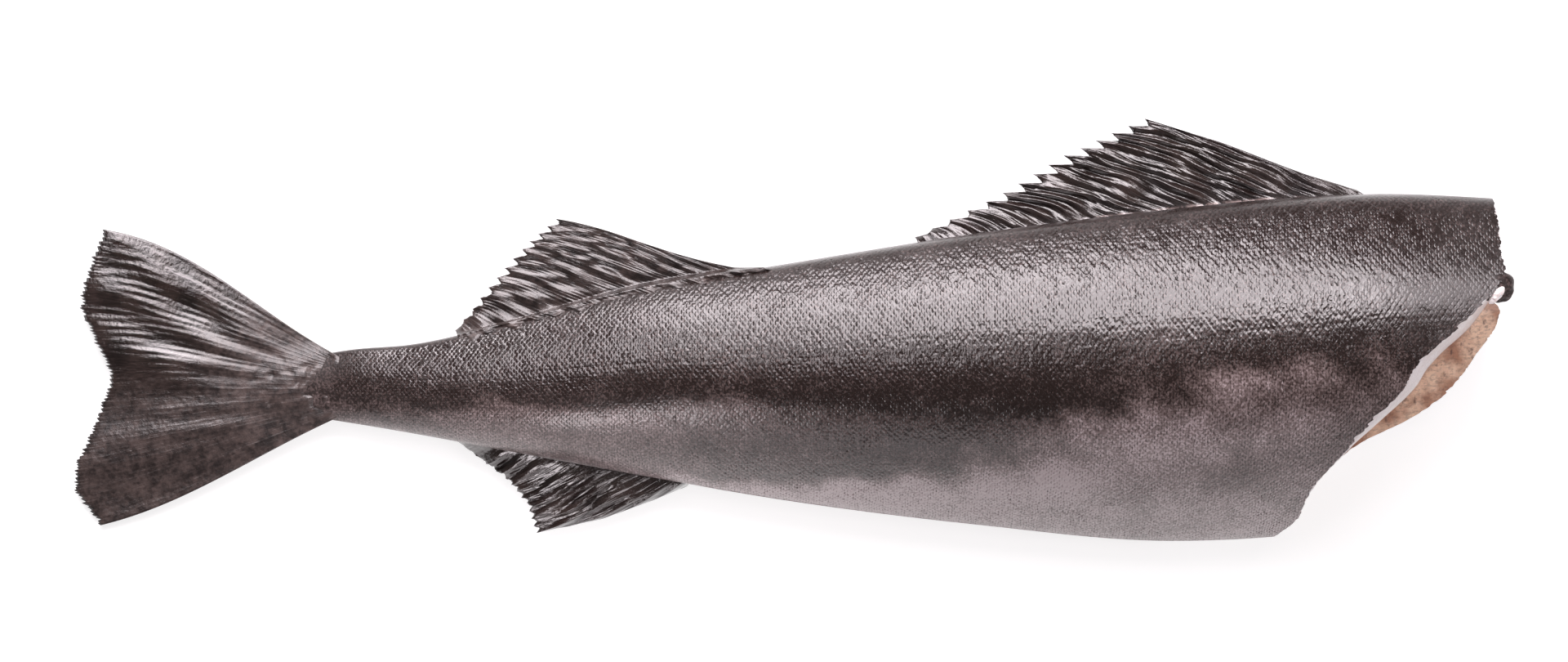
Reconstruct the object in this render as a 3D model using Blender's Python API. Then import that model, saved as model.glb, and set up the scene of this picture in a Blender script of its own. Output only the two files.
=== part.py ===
"""Black cod (sablefish), headed and gutted, lying on its left side.

The fish is one solid.  +X runs towards the cut end, +Y towards the back, +Z up.
The flank that faces up is the near side, the flank on the table is the far side.
All sizes below are in millimetres, and a mesh is scaled to metres when it is made.
"""

import bpy
import bmesh
import numpy as np

MM = 0.001
NODE = "black_cod"

# Body: one row for each station from the tail stalk to the nape.
# x, back edge y, belly edge y, half thickness, mid height z, belly edge z
STATIONS = np.array((
    (-227.0, -17.0, -30.0, 1.3, 6.4, 6.4),
    (-216.0, -13.2, -33.8, 3.6, 7.2, 7.2),
    (-199.0, -10.5, -36.5, 5.8, 8.8, 8.6),
    (-183.0, -8.0, -39.0, 8.6, 10.8, 10.0),
    (-159.0, -6.0, -43.0, 12.2, 14.0, 12.0),
    (-118.0, 3.0, -50.5, 18.0, 19.0, 14.5),
    (-63.0, 17.5, -60.5, 26.2, 25.2, 16.0),
    (-2.0, 27.5, -71.0, 33.4, 31.2, 15.5),
    (80.0, 40.5, -81.5, 40.6, 37.8, 13.0),
    (161.0, 50.5, -88.3, 44.6, 41.6, 10.5),
    (202.0, 54.5, -86.7, 45.2, 42.2, 10.0),
    (242.0, 56.5, -82.0, 44.6, 41.7, 10.0),
    (312.0, 53.8, -68.0, 39.0, 37.5, 10.5),
))
BELLY_FULLNESS = 0.64       # power on the section's sine at the belly, 0.5 is round
BACK_FULLNESS = 0.52
WIDEST_POWER = 1.10         # above 1, the widest place lies above mid depth
BELLY_SHARE = 0.5           # share of the depth over which the mid surface sinks to the belly
BODY_STEPS = 50
SIDE_STEPS = 20
STRAIGHT_X = 60.0           # beyond this, stations lean over into the slanted cut
CUT_PASSES = 40             # rounds that bring a line's end onto the cut
MERGE_DISTANCE = 0.02
SHARP_ANGLE = 40.0          # degrees

# The cut end: x of the skin's edge at each height y, on the near and on the far side.
BELLY_CORNER_X = 204.0
NAPE_X = 291.5
NEAR_CUT = np.array((
    (-86.7, 204.0), (-84.0, 207.5), (-79.0, 212.5), (-72.0, 214.8), (-63.0, 218.7),
    (-52.0, 227.4), (-37.0, 239.5), (-23.0, 253.0), (-10.0, 262.5), (0.0, 274.5),
    (14.0, 288.0), (22.0, 294.0), (32.0, 294.4), (45.0, 295.0), (54.5, 291.5),
))
FAR_CUT = np.array((
    (-86.7, 204.0), (-84.0, 206.5), (-78.0, 209.8), (-68.0, 215.2), (-56.0, 228.5),
    (-47.0, 239.5), (-38.0, 258.0), (-31.0, 271.0), (-20.0, 282.5), (-9.0, 290.0),
    (0.0, 297.3), (12.0, 300.0), (26.0, 297.6), (45.0, 295.4), (54.5, 291.5),
))

# Belly cavity: x, height of its top as a share of the body's depth
CAVITY_TOP = np.array((
    (-42.0, 0.10), (-20.0, 0.26), (30.0, 0.42), (100.0, 0.54), (200.0, 0.62), (320.0, 0.68),
))
WALL = 4.4                  # belly wall
LOIN_WALL = 23.0            # flank beside the spine
SLIT_HALF = 0.9
SLIT_REACH = 9.0            # how far the cutter stands out below the belly edge
CAVITY_STEPS = 26
CAVITY_SIDE_STEPS = 12

# Collar knob left at the lower end of the nape cut
KNOB_CENTRE = (289.9, 19.5, 66.0)
KNOB_RADII = (8.2, 10.5, 5.6)
KNOB_SEGMENTS = 14
KNOB_RINGS = 8

FIN_ROOT = 5.0              # depth of a fin's root inside the body
RAY_HALF_ROOT = 1.0
RAY_HALF_TIP = 0.42
WEB_HALF = 0.36             # half thickness of the skin between two rays

# Fins.  base is the smooth line (x, y) of the ray roots from the first ray to the last.  edge is
# the line of ray tips: number of the ray, x, y.  A pair of values goes from the first ray to the
# last.
FINS = {
    "first_dorsal": {
        "base": ((240.0, 55.5), (192.0, 52.6), (124.0, 45.0), (54.0, 36.4)),
        "edge": ((0, 236.0, 58.4), (1, 212.0, 65.6), (2, 176.0, 79.2), (3, 147.0, 88.2),
                 (8, 113.6, 72.8), (12, 88.6, 57.2), (17, 52.6, 38.8)),
        "rows": 4, "notch": (0.02, 0.30), "bow": (-0.02, 0.03), "base_z": (41.7, 35.5), "tip_z": (37.0, 30.0),
    },
    "second_dorsal": {
        "base": ((-34.0, 21.6), (-63.0, 16.0), (-98.0, 7.2), (-138.0, -3.0)),
        "edge": ((0, -37.0, 25.4), (1, -53.0, 30.2), (2, -75.0, 37.6), (3, -97.5, 46.6),
                 (7, -112.5, 34.0), (11, -126.0, 18.0), (15, -139.5, 0.0)),
        "rows": 4, "notch": (0.02, 0.16), "bow": (-0.02, 0.04), "base_z": (28.2, 16.6), "tip_z": (22.0, 13.0),
    },
    "anal": {
        "base": ((-40.0, -62.4), (-80.0, -55.5), (-112.0, -49.5), (-138.0, -44.5)),
        "edge": ((0, -42.5, -65.6), (1, -58.0, -72.0), (2, -79.0, -79.6), (4, -106.5, -85.4),
                 (8, -110.5, -73.0), (12, -119.0, -62.5), (17, -139.5, -46.6)),
        "rows": 4, "notch": (0.02, 0.10), "bow": (0.02, -0.04), "base_z": (15.9, 13.6), "tip_z": (7.0, 6.5),
    },
    "caudal": {
        "base": ((-191.0, -9.5), (-206.0, -15.0), (-211.0, -23.5), (-206.0, -32.0), (-191.0, -37.5)),
        "edge": ((0, -289.5, 42.6), (3, -296.0, 25.0), (6, -299.4, 9.5), (10, -290.0, -10.0),
                 (12, -286.0, -20.0), (15, -291.5, -36.0), (19, -300.2, -55.0), (22, -301.8, -68.0),
                 (25, -291.0, -82.4)),
        "rows": 6, "notch": (0.035, 0.035), "bow": (-0.055, 0.030), "base_z": (9.4, 9.4), "tip_z": (5.0, 3.4),
    },
}
RIPPLE = 0.7                # height of the soft waves along a fin's edge
RIPPLES = 3.0
ROOT_SHARE = 0.12           # share of a ray over which the fin stays flat beside the body
BOW_SCALE = 27.0 / 4.0      # a ray bows most at two thirds of its length, by its bow share
SAG_POWER = 1.4             # a fin sags more towards its edge
TIP_JITTER = 0.025          # uneven length of the rays, as a share
RANDOM_SEED = 11

MATERIALS = (
    ("wet_skin", (0.072, 0.056, 0.055, 1.0), 0.22),
    ("flesh", (0.60, 0.42, 0.33, 1.0), 0.38),
    ("fin", (0.060, 0.045, 0.046, 1.0), 0.35),
)
SKIN, FLESH, FIN = range(3)


def clear_scene():
    """Remove every object of the open scene."""
    for item in list(bpy.data.objects):
        bpy.data.objects.remove(item, do_unlink=True)


def smooth_curve(table, column, at):
    """Cubic through a table's points, with slopes taken from the neighbouring points."""
    xs = table[:, 0]
    ys = table[:, column]
    slopes = np.gradient(ys, xs)
    at = np.clip(at, xs[0], xs[-1])
    i = np.clip(np.searchsorted(xs, at, side="right") - 1, 0, len(xs) - 2)
    span = xs[i + 1] - xs[i]
    s = (at - xs[i]) / span
    start = ys[i] * (1 + 2 * s) * (1 - s) ** 2 + slopes[i] * span * s * (1 - s) ** 2
    end = ys[i + 1] * s * s * (3 - 2 * s) + slopes[i + 1] * span * s * s * (s - 1)
    return start + end


def belly_y(x):
    """Height of the belly edge at x."""
    return smooth_curve(STATIONS, 2, x)


def depth(x):
    """Distance from the belly edge to the back edge at x."""
    return smooth_curve(STATIONS, 1, x) - belly_y(x)


def mid_height(x, t):
    """Height above the table of the surface midway between the two flanks."""
    rise = np.sin(0.5 * np.pi * np.clip(t / BELLY_SHARE, 0.0, 1.0))
    belly_z = smooth_curve(STATIONS, 5, x)
    return belly_z + (smooth_curve(STATIONS, 4, x) - belly_z) * rise


def half_thickness(x, t):
    """Half thickness where t goes from 0 at the belly edge to 1 at the back edge."""
    power = BELLY_FULLNESS + (BACK_FULLNESS - BELLY_FULLNESS) * t
    section = np.abs(np.sin(np.pi * t ** WIDEST_POWER)) ** power
    return smooth_curve(STATIONS, 3, x) * np.where((t <= 0.0) | (t >= 1.0), 0.0, section)


def flank_height(x, t, side):
    """Height of the skin, side +1 for the near flank and -1 for the far one, which the table flattens."""
    return np.maximum(mid_height(x, t) + side * half_thickness(x, t), 0.0)


def cut_end(t, cut):
    """The x at which the line of constant t meets the slanted cut."""
    x = np.full_like(t, STATIONS[-1, 0])
    for _ in range(CUT_PASSES):
        x = smooth_curve(cut, 1, belly_y(x) + t * depth(x))
    x[[0, -1]] = (BELLY_CORNER_X, NAPE_X)
    return x


def side_shares(steps):
    """Shares of the depth from belly to back, close together at both edges."""
    return 0.5 - 0.5 * np.cos(np.linspace(0.0, np.pi, steps + 1))


def flank(side, cut):
    """Grid of points on one flank, stations by shares of the depth."""
    t = side_shares(SIDE_STEPS)
    end = cut_end(t, cut)
    along = np.linspace(0.0, 1.0, BODY_STEPS + 1)[:, None]
    tail_x, nose_x = STATIONS[[0, -1], 0]
    x = tail_x + (nose_x - tail_x) * along
    x = x + np.maximum(x - STRAIGHT_X, 0.0) * (end - nose_x) / (nose_x - STRAIGHT_X)
    t = np.broadcast_to(t, x.shape)
    return np.stack((x, belly_y(x) + t * depth(x), flank_height(x, t, side)), axis=-1)


def solid_between(name, upper, lower, material, rim_material):
    """Closed mesh between two grids of the same size, whose rims are joined all round."""
    rows, columns = upper.shape[:2]
    count = rows * columns
    points = np.concatenate((upper.reshape(-1, 3), lower.reshape(-1, 3))) * MM
    index = np.arange(count).reshape(rows, columns)
    a, b = index[:-1, :-1].ravel(), index[1:, :-1].ravel()
    c, d = index[1:, 1:].ravel(), index[:-1, 1:].ravel()
    top = np.concatenate((np.stack((a, b, c), 1), np.stack((a, c, d), 1)))
    rim = np.concatenate((index[0, :], index[1:, -1], index[-1, -2::-1], index[-2:0:-1, 0]))
    ahead = np.roll(rim, -1)
    wall = np.concatenate((
        np.stack((rim, ahead, ahead + count), 1),
        np.stack((rim, ahead + count, rim + count), 1),
    ))
    faces = np.concatenate((top, top[:, ::-1] + count, wall))
    mesh = bpy.data.meshes.new(name)
    mesh.from_pydata(points.tolist(), [], faces.tolist())
    face_materials = np.repeat((material, rim_material), (2 * len(top), len(wall)))
    mesh.polygons.foreach_set("material_index", face_materials)
    work = bmesh.new()
    work.from_mesh(mesh)
    bmesh.ops.remove_doubles(work, verts=work.verts, dist=MERGE_DISTANCE * MM)
    bmesh.ops.recalc_face_normals(work, faces=work.faces)
    work.to_mesh(mesh)
    work.free()
    return mesh


def add_object(name, mesh, collection):
    """Object with the three materials, linked to a collection."""
    for material in MATERIALS:
        mesh.materials.append(bpy.data.materials[material[0]])
    item = bpy.data.objects.new(name, mesh)
    collection.objects.link(item)
    return item


def make_materials():
    """One Principled material for each finish: colour and roughness."""
    for name, colour, roughness in MATERIALS:
        material = bpy.data.materials.new(name)
        material.use_nodes = True
        shader = material.node_tree.nodes["Principled BSDF"]
        shader.inputs["Base Color"].default_value = colour
        shader.inputs["Roughness"].default_value = roughness
        shader.inputs["Metallic"].default_value = 0.0


def body_mesh():
    """The fish without fins, closed by the slanted cut between both skin edges."""
    return solid_between(NODE, flank(1, NEAR_CUT), flank(-1, FAR_CUT), SKIN, FLESH)


def cavity_mesh():
    """Keyhole cutter: the gutted belly, open at the cut end and through the belly slit."""
    x = np.linspace(CAVITY_TOP[0, 0], STATIONS[-1, 0], CAVITY_STEPS + 1)[:, None]
    top = smooth_curve(CAVITY_TOP, 1, x)
    share = np.sin(np.linspace(0.0, 0.5 * np.pi, CAVITY_SIDE_STEPS + 1))
    t = top * share
    wall = WALL + (LOIN_WALL - WALL) * share
    roof = flank_height(x, t, 1) - wall
    floor = flank_height(x, t, -1) + wall
    middle = 0.5 * (roof + floor)
    rounding = np.sqrt(np.maximum(1.0 - share ** 4, 0.0))
    gap = np.maximum(0.5 * (roof - floor) * rounding, SLIT_HALF)
    y = belly_y(x) + t * depth(x)
    outside = (y[:, :1] - SLIT_REACH, middle[:, :1], gap[:, :1])
    y, middle, gap = (np.hstack((out, inner)) for out, inner in zip(outside, (y, middle, gap)))
    x = np.broadcast_to(x, y.shape)
    upper = np.stack((x, y, middle + gap), axis=-1)
    lower = np.stack((x, y, middle - gap), axis=-1)
    return solid_between("belly_cavity", upper, lower, FLESH, FLESH)


def line_through(points, share):
    """Points at given shares of the length of a smooth line through a few points."""
    points = np.array(points)
    reach = np.concatenate(((0.0,), np.cumsum(np.linalg.norm(np.diff(points, axis=0), axis=1))))
    table = np.column_stack((reach / reach[-1], points))
    return np.stack((smooth_curve(table, 1, share), smooth_curve(table, 2, share)), axis=-1)


def fin_mesh(name, fin, random):
    """Thin plate with raised rays, webs between them and notched webs at its edge."""
    edge = np.array(fin["edge"])
    last_ray = edge[-1, 0]
    column = np.arange(2 * int(last_ray) + 1)
    on_ray = column % 2 == 0
    share = column / column[-1]
    pairs = (fin[key] for key in ("bow", "notch", "base_z", "tip_z"))
    bow, notch, base_z, tip_z = (np.interp(share, (0.0, 1.0), pair) for pair in pairs)
    base = line_through(fin["base"], share)
    tip = np.stack([np.interp(share * last_ray, edge[:, 0], edge[:, axis]) for axis in (1, 2)], axis=-1)
    ray = tip - base
    reach = 1.0 - np.where(on_ray, random.uniform(0.0, TIP_JITTER, len(column)), notch)
    reach[2 * edge[:, 0].astype(int)] = 1.0
    root = -FIN_ROOT / np.maximum(np.linalg.norm(ray, axis=1), FIN_ROOT)
    v = np.linspace(0.0, 1.0, fin["rows"] + 1)[:, None] * reach
    v = np.concatenate((root[None, :], v))
    flat = np.clip(v, 0.0, 1.0)
    across = np.stack((-ray[:, 1], ray[:, 0]), axis=-1)
    bow = bow * BOW_SCALE * flat ** 2 * (1.0 - flat)
    xy = base + v[..., None] * ray + bow[..., None] * across
    wave = RIPPLE * np.maximum(flat - ROOT_SHARE, 0.0) * np.sin(2.0 * np.pi * RIPPLES * share)
    z = base_z + (tip_z - base_z) * flat ** SAG_POWER + wave
    half = np.where(on_ray, RAY_HALF_ROOT + (RAY_HALF_TIP - RAY_HALF_ROOT) * flat, WEB_HALF)
    return solid_between(name, np.dstack((xy, z + half)), np.dstack((xy, z - half)), FIN, FIN)


def knob_mesh():
    """Rounded knob of skin on the nape cut."""
    work = bmesh.new()
    bmesh.ops.create_uvsphere(work, u_segments=KNOB_SEGMENTS, v_segments=KNOB_RINGS, radius=1.0)
    bmesh.ops.scale(work, verts=work.verts, vec=[r * MM for r in KNOB_RADII])
    bmesh.ops.translate(work, verts=work.verts, vec=[c * MM for c in KNOB_CENTRE])
    mesh = bpy.data.meshes.new("collar_knob")
    work.to_mesh(mesh)
    work.free()
    return mesh


def apply_boolean(item, operation, operand):
    """Apply one exact Boolean with an object or with every object of a collection."""
    modifier = item.modifiers.new(operation.lower(), "BOOLEAN")
    modifier.operation = operation
    modifier.solver = "EXACT"
    if isinstance(operand, bpy.types.Collection):
        modifier.operand_type = "COLLECTION"
        modifier.collection = operand
    else:
        modifier.object = operand
    solved = item.evaluated_get(bpy.context.evaluated_depsgraph_get())
    mesh = bpy.data.meshes.new_from_object(solved)
    item.modifiers.clear()
    item.data = mesh


def set_origin(item):
    """Put the origin under the middle of the fish, on the table."""
    mesh = item.data
    points = np.empty(3 * len(mesh.vertices), dtype=np.float32)
    mesh.vertices.foreach_get("co", points)
    points = points.reshape(-1, 3)
    low, high = points.min(axis=0), points.max(axis=0)
    points -= (0.5 * (low[0] + high[0]), 0.5 * (low[1] + high[1]), low[2])
    mesh.vertices.foreach_set("co", points.ravel())
    mesh.update()


def main():
    clear_scene()
    make_materials()
    scene_root = bpy.context.scene.collection
    names = ("black_cod_fish", "cutters", "fused_pieces")
    fish, cutters, fused = (bpy.data.collections.new(name) for name in names)
    for collection in (fish, cutters, fused):
        scene_root.children.link(collection)
    body = add_object(NODE, body_mesh(), fish)
    cavity = add_object("belly_cavity", cavity_mesh(), cutters)
    cavity.hide_render = True
    cavity.display_type = "WIRE"
    apply_boolean(body, "DIFFERENCE", cavity)
    random = np.random.default_rng(RANDOM_SEED)
    for name, fin in FINS.items():
        add_object(name, fin_mesh(name, fin, random), fused)
    add_object("collar_knob", knob_mesh(), fused)
    apply_boolean(body, "UNION", fused)
    for item in list(fused.objects) + list(cutters.objects):
        bpy.data.objects.remove(item, do_unlink=True)
    set_origin(body)
    body.data.shade_smooth()
    body.data.set_sharp_from_angle(angle=np.radians(SHARP_ANGLE))


main()
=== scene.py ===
"""Headed and gutted black cod, lying on its left flank and seen from straight above.

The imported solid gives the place.  Every surface here is worked out on a grid with numpy from the
same named sizes, in millimetres, and moved into the frame of the solid when its mesh is made.
"""

from __future__ import annotations

import logging
import math
from dataclasses import dataclass, field
from enum import Enum

import bpy
import numpy as np
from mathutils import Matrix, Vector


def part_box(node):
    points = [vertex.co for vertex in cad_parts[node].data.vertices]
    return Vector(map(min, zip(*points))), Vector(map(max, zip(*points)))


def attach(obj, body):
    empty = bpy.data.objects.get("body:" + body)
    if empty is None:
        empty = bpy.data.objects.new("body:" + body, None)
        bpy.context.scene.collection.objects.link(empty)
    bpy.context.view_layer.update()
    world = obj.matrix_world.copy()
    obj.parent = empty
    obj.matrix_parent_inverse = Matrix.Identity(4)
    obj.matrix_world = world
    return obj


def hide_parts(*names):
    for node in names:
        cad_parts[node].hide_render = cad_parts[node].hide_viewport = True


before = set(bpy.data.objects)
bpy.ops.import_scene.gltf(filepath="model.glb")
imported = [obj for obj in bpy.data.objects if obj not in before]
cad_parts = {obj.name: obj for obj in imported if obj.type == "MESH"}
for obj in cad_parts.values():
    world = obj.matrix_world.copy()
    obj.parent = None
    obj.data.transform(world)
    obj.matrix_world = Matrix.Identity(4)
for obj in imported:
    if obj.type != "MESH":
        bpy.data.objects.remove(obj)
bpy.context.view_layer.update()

NODE = "black_cod"
BODY = "root"
MM = 0.001
LOG = logging.getLogger(NODE)

COAT_IOR = 1.45
WHITE = (1.0, 1.0, 1.0, 1.0)

Array = np.ndarray
Pair = tuple[float, float]
Triple = tuple[float, float, float]
Colour = Triple


def shade(*levels: float) -> Colour:
    """Linear colour of three screen levels from 0 to 255."""
    return tuple(((level / 255.0 + 0.055) / 1.055) ** 2.4 for level in levels)


class Side(Enum):
    """The flank that faces up, or the one on the table."""

    NEAR = 1.0
    FAR = -1.0


class Slot(Enum):
    """Material slots of the record."""

    SKIN = "skin"
    FIN = "fin"
    FLESH = "flesh"
    LINING = "lining"


# ---------------------------------------------------------------- numbers shared by the pieces

# x, back edge y, belly edge y, half thickness, mid height z, belly edge z
STATIONS = np.array((
    (-227.0, -17.0, -30.0, 1.3, 6.4, 6.4),
    (-216.0, -13.2, -33.8, 3.6, 7.2, 7.2),
    (-199.0, -10.5, -36.5, 5.8, 8.8, 8.6),
    (-183.0, -8.0, -39.0, 8.6, 10.8, 10.0),
    (-159.0, -6.0, -43.0, 12.2, 14.0, 12.0),
    (-118.0, 3.0, -50.5, 18.0, 19.0, 14.5),
    (-63.0, 17.5, -60.5, 26.2, 25.2, 16.0),
    (-2.0, 27.5, -71.0, 33.4, 31.2, 15.5),
    (80.0, 40.5, -81.5, 40.6, 37.8, 13.0),
    (161.0, 50.5, -88.3, 44.6, 41.6, 10.5),
    (202.0, 54.5, -86.7, 45.2, 42.2, 10.0),
    (242.0, 56.5, -82.0, 44.6, 41.7, 10.0),
    (312.0, 53.8, -68.0, 39.0, 37.5, 10.5),
))
# Where the skin ends at the slanted cut: y, x
NEAR_CUT = np.array((
    (-86.7, 204.0), (-84.0, 207.5), (-79.0, 212.5), (-72.0, 214.8), (-63.0, 218.7),
    (-52.0, 227.4), (-37.0, 239.3), (-23.0, 251.8), (-17.0, 254.6), (-10.0, 260.6), (0.0, 272.6),
    (8.0, 280.8), (15.0, 288.2), (22.0, 293.6), (32.0, 293.0), (44.0, 292.6), (54.5, 291.5),
))
FAR_CUT = np.array((
    (-86.7, 204.0), (-84.0, 206.5), (-78.0, 209.8), (-68.0, 215.2), (-56.0, 229.0),
    (-47.0, 241.0), (-38.0, 259.2), (-31.0, 270.6), (-20.0, 281.4), (-9.0, 288.6),
    (0.0, 294.8), (6.0, 296.6), (14.0, 297.0), (26.0, 297.0), (38.0, 296.6), (48.0, 295.6), (54.5, 291.5),
))
# Belly cavity: x, height of its top as a share of the body's depth
CAVITY_TOP = np.array((
    (-42.0, 0.10), (-20.0, 0.26), (30.0, 0.42), (100.0, 0.54), (200.0, 0.62), (320.0, 0.68),
))
TAIL_TIP_X = -301.8             # the solid's lowest x and highest y in these coordinates
DORSAL_TIP_Y = 88.2
FAR_OFFSET = 40.0               # moves the two sides apart where they draw from the same waves


def frame_shift() -> Array:
    """Way from the coordinates of the tables to the frame of the solid, in millimetres."""
    low, high = (np.array(corner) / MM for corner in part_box(NODE))
    return np.array((low[0] - TAIL_TIP_X, high[1] - DORSAL_TIP_Y, 0.0))


SHIFT = frame_shift()


def smooth_curve(table: Array, column: int, at: Array) -> Array:
    """Cubic through the points of a table, with slopes taken from the neighbouring points.

    Args:
        table: rows whose first column rises.
        column: the column that is read.
        at: places along the first column.

    Returns:
        The column's value at each place.
    """
    xs, ys = table[:, 0], table[:, column]
    slopes = np.gradient(ys, xs)
    at = np.clip(at, xs[0], xs[-1])
    i = np.clip(np.searchsorted(xs, at, side="right") - 1, 0, len(xs) - 2)
    span = xs[i + 1] - xs[i]
    s = (at - xs[i]) / span
    start = ys[i] * (1 + 2 * s) * (1 - s) ** 2 + slopes[i] * span * s * (1 - s) ** 2
    end = ys[i + 1] * s * s * (3 - 2 * s) + slopes[i + 1] * span * s * s * (s - 1)
    return start + end


def smooth_step(low: float, high: float, at: Array) -> Array:
    """Rise from 0 at low to 1 at high, as 3s² − 2s³."""
    s = np.clip((at - low) / (high - low), 0.0, 1.0)
    return s * s * (3.0 - 2.0 * s)


@dataclass(frozen=True)
class Change:
    """Smooth change of a number by an amount, from nothing at low to all of it at high."""

    low: float
    high: float
    amount: float = 1.0

    def at(self, place: Array) -> Array:
        """The part of the amount that is reached at a place."""
        return self.amount * smooth_step(self.low, self.high, place)


def waves(points: Array, size: float, seed: int, count: int = 7) -> Array:
    """Soft uneven field: the mean of sine waves in drawn directions, whose length is about size.

    Args:
        points: places, whose last axis is x, y and perhaps z.
        size: wave length in the unit of the points.
        seed: seed of the draw.
        count: number of waves.

    Returns:
        Values between about -1 and 1.
    """
    draw = np.random.default_rng(seed)
    total = np.zeros(points.shape[:-1])
    for _ in range(count):
        way = draw.normal(size=points.shape[-1])
        way *= draw.uniform(0.7, 1.5) / np.linalg.norm(way)
        total += np.sin(points @ way * (2.0 * math.pi / size) + draw.uniform(0.0, 2.0 * math.pi))
    return total / math.sqrt(count)


def mixed_waves(points: Array, seed: int, *parts: Pair) -> Array:
    """Sum of soft waves, given by height and size, each drawn with the next seed."""
    return sum(height * waves(points, size, seed + i) for i, (height, size) in enumerate(parts))


DRAW_SALT = (12.9898, 78.233, 43758.5453)
LEAN_SALT = (39.346, 11.135, 24634.6345)


def cell_draw(first: Array, second: Array, salt: Triple) -> Array:
    """Draw from -0.5 to 0.5 for each pair of whole numbers: the fraction of a large sine."""
    return np.mod(np.sin(first * salt[0] + second * salt[1]) * salt[2], 1.0) - 0.5


# ---------------------------------------------------------------- meshes from grids

@dataclass
class Sheet:
    """Surface over a grid of points, with its values for the materials.

    points: rows by columns by xyz, in millimetres.
    values: one number for each point, by attribute name.
    maps: two numbers for each point, by UV map name.
    """

    points: Array
    values: dict[str, Array] = field(default_factory=dict)
    maps: dict[str, Array] = field(default_factory=dict)

    @property
    def quads(self) -> Array:
        """Corner numbers of the faces, which turn so that row × column points outwards.

        Returns:
            Four numbers for each face.
        """
        rows, columns = self.points.shape[:2]
        index = np.arange(rows * columns).reshape(rows, columns)
        corners = (index[:-1, :-1], index[1:, :-1], index[1:, 1:], index[:-1, 1:])
        return np.stack([corner.ravel() for corner in corners], axis=-1)

    def bake_map(self, low: float = 0.0, high: float = 1.0) -> Array:
        """Rows and columns as a map that fills u from low to high and v from 0 to 1.

        Args:
            low: u of the first row.
            high: u of the last row.

        Returns:
            The map, two numbers for each point.
        """
        rows, columns = self.points.shape[:2]
        u, v = np.meshgrid(np.linspace(low, high, rows), np.linspace(0.0, 1.0, columns), indexing="ij")
        return np.stack((u, v), axis=-1)


def make_mesh(
    name: str, points: Array, quads: Array, maps: dict[str, Array], values: dict[str, Array]
) -> bpy.types.Mesh:
    """Mesh of four-cornered faces, written as whole arrays.

    Args:
        name: mesh name.
        points: places in millimetres, one row each.
        quads: four corner numbers for each face.
        maps: UV maps, two numbers for each face corner.
        values: attributes, one number for each point.

    Returns:
        The mesh in metres, shaded smooth.
    """
    mesh = bpy.data.meshes.new(name)
    mesh.vertices.add(len(points))
    mesh.vertices.foreach_set("co", ((points + SHIFT) * MM).astype(np.float32).ravel())
    mesh.loops.add(quads.size)
    mesh.loops.foreach_set("vertex_index", quads.astype(np.int32).ravel())
    mesh.polygons.add(len(quads))
    mesh.polygons.foreach_set("loop_start", np.arange(0, quads.size, 4, dtype=np.int32))
    mesh.update(calc_edges=True)
    mesh.shade_smooth()
    for map_name, places in maps.items():
        layer = mesh.uv_layers.new(name=map_name, do_init=False)
        layer.uv.foreach_set("vector", places.astype(np.float32).ravel())
    for value_name, numbers in values.items():
        attribute = mesh.attributes.new(value_name, "FLOAT", "POINT")
        attribute.data.foreach_set("value", numbers.astype(np.float32).ravel())
    return mesh


def open_sheet(name: str, sheet: Sheet, outwards: bool) -> bpy.types.Mesh:
    """Mesh of one sheet.

    Args:
        name: mesh name.
        sheet: the surface.
        outwards: False turns every face over.

    Returns:
        The mesh.
    """
    quads = sheet.quads if outwards else sheet.quads[:, ::-1]
    maps = {"OFBake": sheet.bake_map(), **sheet.maps}
    corner_maps = {key: grid.reshape(-1, 2)[quads] for key, grid in maps.items()}
    return make_mesh(name, sheet.points.reshape(-1, 3), quads, corner_maps, sheet.values)


def closed_pair(name: str, upper: Sheet, lower: Sheet) -> bpy.types.Mesh:
    """Closed mesh of two sheets of the same size that share the points of their rims.

    Args:
        name: mesh name.
        upper: sheet whose faces point outwards as they are.
        lower: sheet whose faces are turned over.

    Returns:
        The mesh.
    """
    rows, columns = upper.points.shape[:2]
    count = rows * columns
    inner = np.zeros((rows, columns), dtype=bool)
    inner[1:-1, 1:-1] = True
    number = np.arange(count)
    below = number.copy()
    below[inner.ravel()] = count + np.arange(inner.sum())
    quads_up, quads_down = upper.quads, upper.quads[:, ::-1]
    points = np.concatenate((upper.points.reshape(-1, 3), lower.points[inner]))
    values = {
        key: np.concatenate((grid.ravel(), lower.values[key][inner])) for key, grid in upper.values.items()
    }
    half_maps = {"OFBake": (upper.bake_map(0.0, 0.495), upper.bake_map(0.505, 1.0))}
    half_maps.update({key: (grid, lower.maps[key]) for key, grid in upper.maps.items()})
    maps = {
        key: np.concatenate((top.reshape(-1, 2)[quads_up], under.reshape(-1, 2)[quads_down]))
        for key, (top, under) in half_maps.items()
    }
    return make_mesh(name, points, np.concatenate((quads_up, below[quads_down])), maps, values)


def add_object(name: str, data: bpy.types.ID) -> bpy.types.Object:
    """Object of a mesh, light or camera at the origin, in the scene.

    Args:
        name: object name.
        data: what it shows.

    Returns:
        The object.
    """
    item = bpy.data.objects.new(name, data)
    bpy.context.scene.collection.objects.link(item)
    return item


def add_piece(name: str, mesh: bpy.types.Mesh, material: bpy.types.Material) -> None:
    """Object at the origin that stands for the solid and rides on its body.

    Args:
        name: piece name.
        mesh: its mesh, with the place in it.
        material: its finish.
    """
    mesh.materials.append(material)
    piece = add_object(name, mesh)
    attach(piece, BODY)
    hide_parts(NODE)
    LOG.info("%s: %d faces", name, len(mesh.polygons))


# ---------------------------------------------------------------- form of the body

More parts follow.
